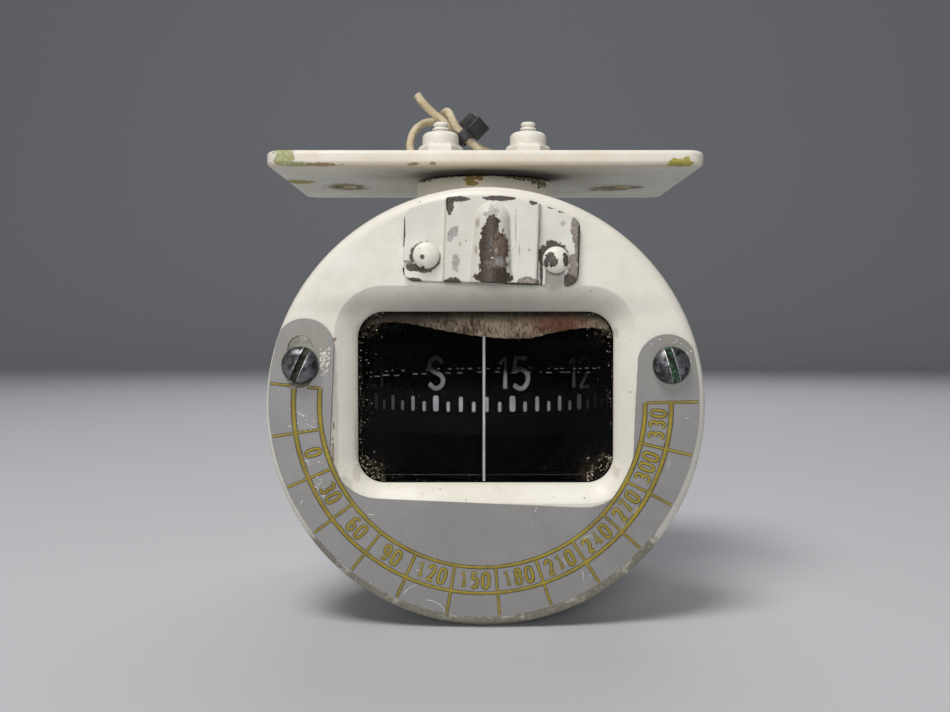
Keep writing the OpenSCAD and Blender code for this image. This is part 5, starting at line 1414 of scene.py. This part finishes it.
def curtainLow(x):
    # lower edge of the curtain at x, straight between its points
    for (x1, z1), (x2, z2) in zip(driedCurtain["edge"], driedCurtain["edge"][1:]):
        if x <= x2:
            share = (x - x1) / (x2 - x1)
            return z1 + (z2 - z1) * share
    return driedCurtain["edge"][-1][1]


def makeCurtain():
    # dried skin hanging behind the top of the glass
    spec, window = driedCurtain, windowFront
    clearSelection()
    bpy.ops.mesh.primitive_grid_add(x_subdivisions=120, y_subdivisions=12, size=1)
    skin = named("dried_curtain")
    straight = window["x"] - window["corner"]
    for vertex in skin.data.vertices:
        x = vertex.co.x * 2 * spec["half"]
        share = vertex.co.y + 0.5
        beyond = max(abs(x) - straight, 0)
        top = window["top"] - window["corner"] + math.sqrt(max(window["corner"] ** 2 - beyond ** 2, 0))
        eased = (curtainLow(x - spec["ease"]) + 2 * curtainLow(x) + curtainLow(x + spec["ease"])) / 4
        low = min(eased + spec["ripple"] * math.sin(x * spec["rippleTurn"]), top - 0.2)
        y = spec["y"] + spec["wave"] * math.sin(x * 1.3 + share * 4) * (1 - share)
        vertex.co = (x * mm, y * mm, (low + (top - low) * share) * mm)
    useModifier(skin, "SOLIDIFY", thickness=spec["thick"] * mm, offset=0)
    smoothAt(skin, 60)
    settle(skin, "case", "rubber", curtainFinish())


def curtainFinish():
    # tan and brown, darkest at its left, with a red-brown stain, and a painted shadow along its top under the
    # window's upper edge
    material, tree, shader, place = newFinish("driedSkin", Roughness=0.85, Specular_IOR_Level=0.15)
    broad = noise(tree, place, 260.0, 5.0, 0.65)
    leaning = {"Vector": place, "Rotation": (0, 0.4, 0), "Scale": (1.0, 1.0, 0.4)}
    slanted = addNode(tree, "ShaderNodeMapping", leaning).outputs[0]
    fine = noise(tree, slanted, 1700.0, 4.0, 0.65)
    mixed = plus(tree, times(tree, broad, 0.45), times(tree, fine, 0.55))
    colour = tint(tree, stretch(tree, mixed, 0.4, 0.62), (0.07, 0.048, 0.03, 1), (0.36, 0.285, 0.2, 1))
    apart = axesOf(tree, place)
    uneven = minus(tree, mixed, 0.5)
    leftward = stretch(tree, plus(tree, apart[0], times(tree, uneven, 0.03)), -0.001, -0.013)
    colour = tint(tree, times(tree, leftward, 0.82), colour, (0.03, 0.023, 0.016, 1))
    # painted shadow of the window's upper edge across the top of the skin
    shadowAtTop = stretch(tree, plus(tree, apart[2], times(tree, uneven, 0.005)), -35.0 * mm, -33.2 * mm)
    colour = tint(tree, times(tree, shadowAtTop, 0.8), colour, (0.025, 0.02, 0.015, 1))
    red = blots(tree, place, [patchAt(14.8, -39.3, -35.4, 4.5, 5, 1.6)], 0.9, 500.0, 0.9)
    colour = tint(tree, times(tree, red, 0.8), colour, (0.13, 0.036, 0.018, 1))
    feed(shader, "Base Color", colour)
    addBump(tree, shader, mixed, 0.4, 0.0002)
    return material


def makeLevelMarks():
    # broken dashes where the liquid stands, and a faint line low down
    spec = levelMarks
    chance = random.Random(spec["seed"])
    dashes = []
    first, last = spec["span"]
    for z, wide, share in spec["rows"]:
        x = first
        while x < last:
            long = wide * chance.uniform(0.5, 1.6)
            if chance.random() < share and abs(x - lubberWire["x"]) > spec["clearOfWire"]:
                middle = z + chance.uniform(-0.08, 0.08) - spec["sag"] * max(spec["sagFrom"] - x, 0) ** 2
                bent = middle + chance.uniform(-0.06, 0.06)
                dashes.append(("s", [(x - long / 2, middle), (x, bent), (x + long / 2, middle)]))
            x += spec["step"] * chance.uniform(0.4, 1.1)
    marks = strokeMesh(dashes, spec["dashW"], 0.4, "level_marks")
    half, lineZ = spec["lineHalf"], spec["lineZ"]
    line = strokeMesh([("s", [(-half, lineZ), (0, lineZ - 0.02), (half, lineZ)])], spec["lineW"], 0.4,
                      "level_line")
    for piece, level in ((marks, spec["dashGrey"]), (line, spec["lineGrey"])):
        bake(piece, moved(0, spec["y"]) @ Matrix.Rotation(math.pi / 2, 4, "X"))
        settle(piece, "case", "window_glass", markFinish(piece.name + "Finish", level))


def makeFilm():
    # a near-black sheet behind the glass: painted shade over the sides, darker above the liquid, and crusts
    # of dirt in the corners
    spec, window = shadeAndCrustFilm, windowFront
    halfX, halfZ = spec["half"]
    clearSelection()
    middle = (window["top"] + window["low"]) / 2
    bpy.ops.mesh.primitive_plane_add(size=2, location=(0, spec["y"] * mm, middle * mm),
                                     rotation=(math.pi / 2, 0, 0))
    film = named("shade_and_crust_film")
    film.scale = (halfX * mm, halfZ * mm, 1)
    bake(film)
    pick(film, "vertices", lambda v: True)
    bpy.ops.mesh.bevel(offset=spec["corner"] * mm, offset_type="OFFSET", segments=8, affect="VERTICES")
    leaveEdit()
    settle(film, "case", "window_glass", shadeAndCrustFinish())


def shadeAndCrustFinish():
    spec = shadeAndCrustFilm
    material, tree, shader, place = newFinish("shadeAndCrustFilm", Roughness=0.95, Specular_IOR_Level=0.0)
    cloud = noise(tree, place, 240.0, 5.0, 0.6)
    apart = axesOf(tree, place)
    # painted shade: the window's sides fade to black
    side = stretch(tree, maths(tree, "ABSOLUTE", apart[0]), 12.5 * mm, 23.5 * mm, 0.0, 0.93)
    above = stretch(tree, apart[2], (spec["level"] - 0.12) * mm, (spec["level"] + 0.12) * mm, 0.0, 0.62)
    clear = times(tree, minus(tree, 1.0, side), minus(tree, 1.0, above))
    corners = [patchAt(x, spec["y"], z, halfX, 5, halfZ) for x, z, halfX, halfZ in (
        (-25.0, -65.8, 5.0, 3.0), (25.0, -65.8, 5.0, 3.6), (25.0, -34.0, 3.5, 3.5), (-25.0, -34.0, 3.0, 3.0),
        (-25.5, -52, 0.6, 13))]
    crust = times(tree, blots(tree, place, corners, 1.2, 900.0, 0.6),
                  stretch(tree, cloud, 0.35, 0.6, 0.0, 0.8))
    alpha = maths(tree, "MAXIMUM", minus(tree, 1.0, clear), crust)
    feed(shader, "Alpha", alpha)
    brown = tint(tree, stretch(tree, noise(tree, place, 1500.0), 0.4, 0.6), (0.03, 0.022, 0.014, 1),
                 (0.12, 0.09, 0.06, 1))
    feed(shader, "Base Color", tint(tree, crust, (0.002, 0.002, 0.002, 1), brown))
    return material


def makeDust():
    # crumbs on the glass, thickest at its left side and in the corners
    spec, window = glassDust, windowFront
    chance = random.Random(spec["seed"])
    faceUp = -axisZ / mm
    straight, corner = window["x"] - window["corner"], window["corner"]
    places = []

    def put(x, z, largest):
        places.append((x, z + faceUp, largest * chance.uniform(0.3, 1.0), chance.uniform(0, math.pi)))

    def inward(mean):
        return spec["near"] + min(chance.expovariate(1 / mean), spec["far"])

    for name, side in (("left", -1), ("right", 1)):
        count, mean, largest = spec[name]
        for _ in range(count):
            put(side * (window["x"] - inward(mean)), chance.uniform(*spec["sideZ"]), largest)
    count, mean, largest = spec["bottom"]
    for _ in range(count):
        put(chance.uniform(-spec["bottomX"], spec["bottomX"]), window["low"] + inward(mean), largest)
    corners = (("lowLeft", -1, -1), ("lowRight", 1, -1), ("topRight", 1, 1), ("topLeft", -1, 1))
    for name, sideX, sideZ in corners:
        count, mean, largest = spec[name]
        baseZ = window["low"] + corner if sideZ < 0 else window["top"] - corner
        for _ in range(count):
            turn, reach = chance.uniform(0, math.pi / 2), corner - inward(mean)
            put(sideX * (straight + reach * math.cos(turn)), baseZ + sideZ * reach * math.sin(turn), largest)
    count, largest = spec["scatter"]
    for _ in range(count):
        put(chance.uniform(-spec["scatterX"], spec["scatterX"]), chance.uniform(*spec["scatterZ"]), largest)
    crumbs = scatterFlakes(places, "glass_crumbs")
    lift = faceY / mm - window["glassFront"] + spec["lift"]
    bake(crumbs, boardFrame @ moved(0, 0, lift))
    finish = flakeFinish("glassCrumbs", (0.55, 0.48, 0.36, 1), (0.2, 0.16, 0.11, 1))
    settle(crumbs, "case", "painted_case", finish)


makeLubber()
makeCurtain()
makeLevelMarks()
makeFilm()
makeDust()
print("window made")


# mounting plate with its pad, studs, nuts and washers

hungPlate = {"size": (89.0, 62.0), "thick": 3.1, "middleY": -7.0, "corner": 4.0, "edge": 0.95, "hole": 5.2,
             "holeAt": 32.0, "leadHole": 5.2, "leadAt": (0.5, -2.4)}
neckPad = {"r": 15.2, "low": -7.3, "high": -3.3, "axisY": cardDrum["axisY"], "edge": 0.5, "way": 6.0}
studs = {"spacing": 19.7, "axisY": cardDrum["axisY"], "d": 4.17, "low": -13.8, "top": 10.4, "pitch": 0.85,
         "groove": 0.26, "threads": 4, "slim": 0.1, "play": 0.05}
washers = {"d": 11.0, "thick": 1.6}
nuts = {"flats": 8.73, "hex": 3.6, "collar": 3.0, "collarD": 8.2}


def cutStudHoles(piece):
    for side in (-1, 1):
        place = (side * studs["spacing"] / 2, studs["axisY"], -20)
        cut(piece, disc(studs["d"] / 2 + studs["play"], 30, place, 32))


def makeHungPlate():
    spec = hungPlate
    wide, deep = spec["size"]
    thick = spec["thick"]
    plate = roundBlock(wide, deep, spec["corner"], thick, (0, spec["middleY"], -thick))
    pick(plate, "edges", lambda e: abs(edgeMiddle(plate, e).z + thick / 2 * mm) > 0.45 * thick * mm)
    bpy.ops.mesh.bevel(offset=spec["edge"] * mm, segments=5, affect="EDGES", clamp_overlap=False)
    leaveEdit()
    for x, y, d in ((-spec["holeAt"], 0, spec["hole"]), (spec["holeAt"], 0, spec["hole"]),
                    (*spec["leadAt"], spec["leadHole"])):
        cut(plate, disc(d / 2, 20, (x, y, -10), 48))
    cutStudHoles(plate)
    bevelSharp(plate, 0.3, 50)
    named("hung_plate")
    keepFlat(plate, 35)
    settle(plate, "case", "painted_case", hungPaint(), "mounting_plate")


def hungPaint():
    frontY = hungPlate["middleY"] - hungPlate["size"][1] / 2
    primer = {"colour": (0.3, 0.29, 0.09, 1), "second": (0.42, 0.42, 0.28, 1), "rough": 0.7, "ragged": 0.6,
              "grain": 1100.0, "depth": 0.2}
    yellow = dict(primer, colour=(0.42, 0.36, 0.06, 1), second=(0.3, 0.25, 0.06, 1))
    rust = {"colour": (0.15, 0.09, 0.03, 1), "second": (0.34, 0.24, 0.1, 1), "rough": 0.75, "ragged": 0.8,
            "grain": 900.0, "soft": 0.25}
    tinge = dict(rust, colour=(0.72, 0.5, 0.28, 1), second=(0.74, 0.6, 0.45, 1), soft=0.7)
    stainAndShade = {"colour": (0.12, 0.095, 0.05, 1), "second": (0.26, 0.22, 0.13, 1), "rough": 0.8, "ragged": 0.75,
             "grain": 500.0, "soft": 0.3, "strength": 0.8}

    def onEdge(x, z, halfX, halfZ):
        return patchAt(x, frontY, z, halfX, 2.5, halfZ)

    def below(x, y, halfX, halfY):
        return patchAt(x, y, -hungPlate["thick"], halfX, halfY, 2.2)

    # near-black for the painted shade under the plate
    dark = {"colour": (0.012, 0.011, 0.009, 1), "second": (0.03, 0.027, 0.02, 1), "rough": 0.85,
            "ragged": 0.15, "soft": 0.3}
    return paintFinish("hungPaint", [
        # painted shade on the underside round the front of the neck pad, darkest next to it
        dict(dark, strength=0.45, soft=0.6, spots=[below(0.5, -19.5, 19, 15)]),
        dict(dark, strength=0.92, spots=[below(0, -20.5, 14.5, 11.5), below(6, -18, 11.5, 9.5)]),
        dict(stainAndShade, spots=[below(-32, 0, 4.6, 6.5), below(30, 3, 5.0, 5.0), below(34.5, 0.5, 2.5, 3.0)]),
        # stains round the fixing holes, also darkening the hole walls as painted shade
        dict(stainAndShade, strength=0.85, soft=0.25, ragged=0.5, colour=(0.16, 0.125, 0.07, 1),
             second=(0.34, 0.28, 0.18, 1),
             spots=[patchAt(side * hungPlate["holeAt"], 0, -2.7, 3.8, 3.8, 2.6) for side in (-1, 1)]),
        dict(tinge, strength=0.4, spots=[
            onEdge(-35.0, -1.0, 1.4, 1.1), onEdge(22, -1.0, 3.0, 0.9), onEdge(30, -0.6, 1.2, 0.5),
            onEdge(-12.5, -2.2, 3.5, 0.8), onEdge(-30, -2.8, 6.0, 0.7), below(0, -36.5, 44, 3.5)]),
        dict(rust, strength=0.85, spots=[
            below(-29.5, -1, 1.6, 1.8), onEdge(-10.6, -2.75, 0.7, 0.25), onEdge(-14.6, -2.85, 1.4, 0.25),
            onEdge(-33.5, -2.95, 3.8, 0.3)]),
        dict(primer, spots=[onEdge(-40.5, -1.4, 2.2, 2.0), onEdge(-38.5, -2.9, 2.6, 0.5)]),
        dict(yellow, spots=[
            below(-41.3, -10, 3.2, 3.4), onEdge(39.2, -2.8, 2.7, 0.8), onEdge(38.0, -2.2, 0.6, 0.6),
            onEdge(40.6, -2.2, 0.8, 0.8)]),
    ], ageing=0.4)


def makeNeckPad():
    spec = neckPad
    edge = spec["edge"]
    lowRound = [(spec["r"] - edge + edge * math.sin(a), spec["low"] + edge - edge * math.cos(a))
                for a in (math.pi / 2 * i / 5 for i in range(6))]
    pad = turned(lowRound + quarterRound(spec["r"], spec["high"], edge, 5), 128)
    named("neck_collar")
    bake(pad, moved(0, spec["axisY"]))
    cut(pad, disc(spec["way"] / 2, 20, (*hungPlate["leadAt"], -16), 48))
    cutStudHoles(pad)
    keepFlat(pad, 40)
    settle(pad, "case", "painted_case", neckPaint(), "neck_pad")


def neckPaint():
    front = neckPad["axisY"] - neckPad["r"]
    flake = {"colour": (0.07, 0.055, 0.03, 1), "second": (0.42, 0.35, 0.2, 1), "rough": 0.8, "ragged": 0.9,
             "grain": 1300.0, "depth": 0.3}
    primer = {"colour": (0.38, 0.36, 0.07, 1), "second": (0.5, 0.3, 0.1, 1), "rough": 0.7, "ragged": 0.7,
              "grain": 900.0}

    def around(x, z, halfX, halfZ):
        return patchAt(x, front, z, halfX, 9.0, halfZ)

    return paintFinish("neckPaint", [
        # flaking paint, and a thin painted shadow along the pad's top edge under the plate
        dict(flake, spots=[
            around(9.0, -3.5, 4.5, 0.7), around(12.6, -4.2, 2.4, 1.3), around(-13.5, -3.6, 2.5, 0.6),
            around(0, -3.2, 15, 0.25)]),
        dict(primer, ragged=0.9, spots=[around(-3.3, -4.1, 1.0, 0.7), around(-2.6, -5.0, 1.3, 0.5)]),
        dict(primer, ragged=0.9, colour=(0.5, 0.27, 0.08, 1), spots=[around(-1.2, -3.9, 1.0, 0.5)]),
    ], tone={"fresh": (0.93, 0.86, 0.72, 1), "aged": (0.82, 0.7, 0.52, 1), "speck": (0.09, 0.07, 0.05, 1)})


def bothStuds(piece):
    # a copy of the piece at each stud
    twin = duplicate(piece)
    for one, side in ((piece, -1), (twin, 1)):
        bake(one, moved(side * studs["spacing"] / 2, studs["axisY"]))
    return [piece, twin]


def makeStuds():
    r = studs["d"] / 2
    profile = [(r, studs["low"])]
    crest = studs["top"] - 0.5 - studs["threads"] * studs["pitch"]
    quarter = studs["pitch"] / 4
    for index in range(studs["threads"]):
        # paint-filled threads, slimmer to the top
        out = r * (1 - studs["slim"] * max(index - 1, 0))
        profile += [(out, crest), (out - studs["groove"], crest + quarter),
                    (out - studs["groove"], crest + 1.6 * quarter), (out, crest + 2.6 * quarter)]
        crest += studs["pitch"]
    profile += [(out, studs["top"] - 0.5), (out - 0.15, studs["top"] - 0.2), (out - 0.5, studs["top"])]
    stud = turned(profile, 48)
    smoothAt(stud, 60)
    pair = joinPieces(bothStuds(stud), "stud_threads")
    settle(pair, "case", "painted_case", paintFinish("studPaint", ageing=0.3), "mounting_studs")

    d, thick = washers["d"], washers["thick"]
    washer = turned([(d / 2 - 0.4, 0), (d / 2, 0.35)] + quarterRound(d / 2, thick, 0.7, 5), 64)
    cut(washer, disc(r + studs["play"], 20, (0, 0, -10), 32))
    keepFlat(washer, 40)
    pair = joinPieces(bothStuds(washer), "nut_washers")
    settle(pair, "case", "painted_case", paintFinish("washerPaint", ageing=0.3), "stud_washers")


def makeNuts():
    spec = nuts
    corners = spec["flats"] / math.cos(math.pi / 6) / 2
    hexagon = turned([(corners - 0.3, 0), (corners, 0.4), (corners, spec["hex"] - 0.5),
                      (corners - 0.7, spec["hex"])], 6)
    r, base, rise = spec["collarD"] / 2, spec["hex"], spec["collar"]
    bake(hexagon, Matrix.Rotation(math.pi / 6, 4, "Z"))
    collar = turned([(r, base - 1), (r, base + 0.5 * rise), (r * 0.98, base + 0.66 * rise),
                     (r * 0.92, base + 0.8 * rise), (r * 0.81, base + 0.92 * rise),
                     (r * 0.68, base + 0.98 * rise), (r * 0.58, base + rise)], 64)
    combine(hexagon, collar, "UNION")
    cut(hexagon, disc(studs["d"] / 2 + studs["play"], 30, (0, 0, -10), 48))
    softened(hexagon, 0.16, 4)
    bake(hexagon, moved(0, 0, washers["thick"]))
    pair = joinPieces(bothStuds(hexagon), "stop_nuts")
    settle(pair, "case", "painted_case", paintFinish("nutPaint", ageing=0.25), "stud_nuts")


makeHungPlate()
makeNeckPad()
makeStuds()
makeNuts()
print("mounting pieces made")


# the spring under the jewel cup

jewelCoil = {"wire": 0.6, "turns": 6, "sides": 10, "steps": 24, "travel": 0.8}


def makeJewelCoil():
    spec = jewelCoil
    low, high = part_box("jewel_spring")
    axisY = (low.y + high.y) / 2
    wire = spec["wire"] * mm
    clearSelection()
    bpy.ops.mesh.primitive_circle_add(vertices=spec["sides"], radius=wire / 2, rotation=(math.pi / 2, 0, 0),
                                      location=((high.x - low.x - wire) / 2, 0, 0))
    coil = named("jewel_coil")
    bake(coil)
    pitch = (high.z - low.z - wire) / spec["turns"]
    useModifier(coil, "SCREW", axis="Z", angle=2 * math.pi, screw_offset=pitch, iterations=spec["turns"],
                steps=spec["steps"], render_steps=spec["steps"])
    pick(coil, "edges", lambda e: True)
    bpy.ops.mesh.fill_holes(sides=0)
    leaveEdit()
    cleanNormals(coil)
    smoothAt(coil, 40)
    bake(coil, Matrix.Translation((0, axisY, low.z + wire / 2)))
    finish = wornMetal("coilSteel", (0.6, 0.6, 0.58, 1), (0.42, 0.42, 0.4, 1))
    settle(coil, "case", "plain_steel", finish, "jewel_spring")
    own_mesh(coil)


makeJewelCoil()
print("jewel spring made")


# finishes of the carried-over solids

caseBowl = {"r": 34.3, "backY": 24.9}


def casePaint():
    # off-white outside with dirt and a few chips, matt black inside the bowl
    def onRound(degrees, r, y, half):
        # a patch on a round edge, counted from straight down, to the right
        turn = math.radians(degrees)
        return Vector((r * math.sin(turn) * mm, y * mm, axisZ - r * math.cos(turn) * mm)), half

    chip = {"colour": (0.035, 0.03, 0.026, 1), "second": (0.075, 0.064, 0.055, 1), "rough": 0.6,
            "ragged": 0.7, "depth": 0.2}
    bare = dict(chip, colour=(0.2, 0.19, 0.175, 1), second=(0.32, 0.3, 0.28, 1))
    dirt = {"colour": (0.13, 0.115, 0.08, 1), "second": (0.3, 0.275, 0.21, 1), "rough": 0.75, "ragged": 0.8,
            "soft": 0.5}
    material = paintFinish("casePaint", [
        dict(dirt, strength=0.6, spots=[
            onRound(0, 40, 0, (26, 40, 5)), onRound(150, 37.4, 20.5, (14, 1.4, 10)),
            onRound(-100, 37.4, -32.5, (8, 1.2, 16)), onRound(70, 37.4, -32.5, (8, 1.2, 12))]),
        dict(dirt, strength=0.45, soft=0.8,
             spots=[onRound(60 * i + 30, 38.5, 31, (4, 5, 4)) for i in range(6)]),
        dict(chip, spots=[
            onRound(128, 42, 29.5, (1.4, 1.6, 2.0)), onRound(221, 42, 30.5, (2.2, 0.9, 1.4)),
            onRound(75, 42, 28, (1.0, 2.2, 1.3)), onRound(-62, 42, 31, (1.5, 1.2, 3.2)),
            onRound(14, 33.5, 34.4, (2.6, 1.0, 0.8)), onRound(200, 33.8, 34.4, (1.6, 1.0, 0.9))]),
        dict(bare, spots=[
            onRound(110, 42, 27, (1.3, 1.1, 3.0)), onRound(252, 42, 27.5, (1.2, 1.6, 2.4)),
            onRound(165, 33.6, 34.4, (2.0, 0.8, 1.0)), onRound(96, 36.9, 6, (1.2, 5.5, 0.7)),
            onRound(-84, 36.9, -8, (1.2, 3.4, 1.0))]),
    ])
    tree = material.node_tree
    shader = tree.nodes["Principled BSDF"]
    outer = shader.inputs["Base Color"].links[0].from_socket
    place = addNode(tree, "ShaderNodeTexCoord").outputs["Object"]
    apart = axesOf(tree, place)
    fromAxis = minus(tree, apart[2], axisZ)
    squares = plus(tree, times(tree, apart[0], apart[0]), times(tree, fromAxis, fromAxis))
    inside = times(tree, maths(tree, "LESS_THAN", squares, (caseBowl["r"] * mm) ** 2),
                   maths(tree, "LESS_THAN", apart[1], caseBowl["backY"] * mm))
    feed(shader, "Base Color", tint(tree, inside, outer, (0.002, 0.002, 0.0022, 1)))
    rough = shader.inputs["Roughness"].links[0].from_socket
    feed(shader, "Roughness", maths(tree, "MAXIMUM", rough, inside))
    return material


def glassFinish():
    # clear glass that lets the light through to the card
    material, tree, shader, place = newFinish(
        "windowGlass", Roughness=0.03, IOR=1.1, Transmission_Weight=1.0, Specular_IOR_Level=0.3)
    film = mottle(tree, place, 90.0)
    feed(shader, "Roughness", stretch(tree, film, 0.0, 1.0, 0.02, 0.06))
    clear = addNode(tree, "ShaderNodeBsdfTransparent").outputs[0]
    shadow = addNode(tree, "ShaderNodeLightPath").outputs["Is Shadow Ray"]
    mix = addNode(tree, "ShaderNodeMixShader", {0: shadow, 1: shader.outputs[0], 2: clear})
    tree.links.new(mix.outputs[0], tree.nodes["Material Output"].inputs["Surface"])
    return material


finishBySlot = {
    "painted_case": casePaint(),
    "correction_metal": wornMetal("alloyMetal", (0.45, 0.45, 0.46, 1), (0.3, 0.3, 0.31, 1), metallic=0.5),
    "dark_screw": wornMetal("blackScrew", (0.05, 0.05, 0.052, 1), (0.1, 0.095, 0.09, 1)),
    "plain_steel": wornMetal("plainSteel", (0.5, 0.5, 0.5, 1), (0.32, 0.31, 0.3, 1)),
    "brass": wornMetal("oldBrass", (0.5, 0.36, 0.14, 1), (0.24, 0.16, 0.07, 1)),
    "magnet": wornMetal("magnetSteel", (0.2, 0.2, 0.21, 1), (0.1, 0.1, 0.105, 1)),
    "card_black": dullPlastic("cardBlack", (0.008, 0.008, 0.009, 1), (0.014, 0.014, 0.015, 1), (0.7, 0.9)),
    "lubber_white": dullPlastic("lubberWhite", (0.8, 0.8, 0.78, 1), (0.62, 0.62, 0.6, 1)),
    "float_alloy": dullPlastic("floatDark", (0.02, 0.02, 0.022, 1), (0.035, 0.035, 0.037, 1), (0.6, 0.8)),
    "window_glass": glassFinish(),
    "bulb_glass": dullPlastic("bulbGlass", (0.7, 0.66, 0.5, 1), (0.55, 0.5, 0.36, 1), (0.1, 0.25)),
    "bakelite": dullPlastic("bakelite", (0.09, 0.035, 0.018, 1), (0.05, 0.02, 0.012, 1)),
    "rubber": dullPlastic("blackRubber", (0.015, 0.015, 0.015, 1), (0.04, 0.038, 0.036, 1), (0.6, 0.85)),
    "jewel": dullPlastic("jewelRed", (0.25, 0.02, 0.05, 1), (0.16, 0.012, 0.03, 1), (0.08, 0.15)),
    "lead_insulation": leadFinish(),
    "tie_nylon": nylonFinish(),
}
# near-black for the parts seen through the window: painted shade, darker than the card's and gaskets' own
# black, and hiding the brass post, screws and retainer
blackAndShadeInside = dullPlastic("blackAndShadeInside", (0.0004, 0.0004, 0.0005, 1), (0.0012, 0.0012, 0.0012, 1),
                          (0.9, 1.0), 0.02)
seenThroughWindow = ("diaphragm", "jewel_post", "post_cap", "post_screws", "card_spider", "card_float",
                     "card_magnets", "rear_gasket", "window_gasket", "bezel_gasket", "window_retainer",
                     "retainer_screws", "compass_card")
slotOf = {part["node"]: part["material_slot"] for part in frame["record"]["subparts"]}
for name, node in nodes.items():
    finish = blackAndShadeInside if name in seenThroughWindow else finishBySlot[slotOf[name]]
    node.data.materials.clear()
    node.data.materials.append(finish)
print("carried-over solids finished")
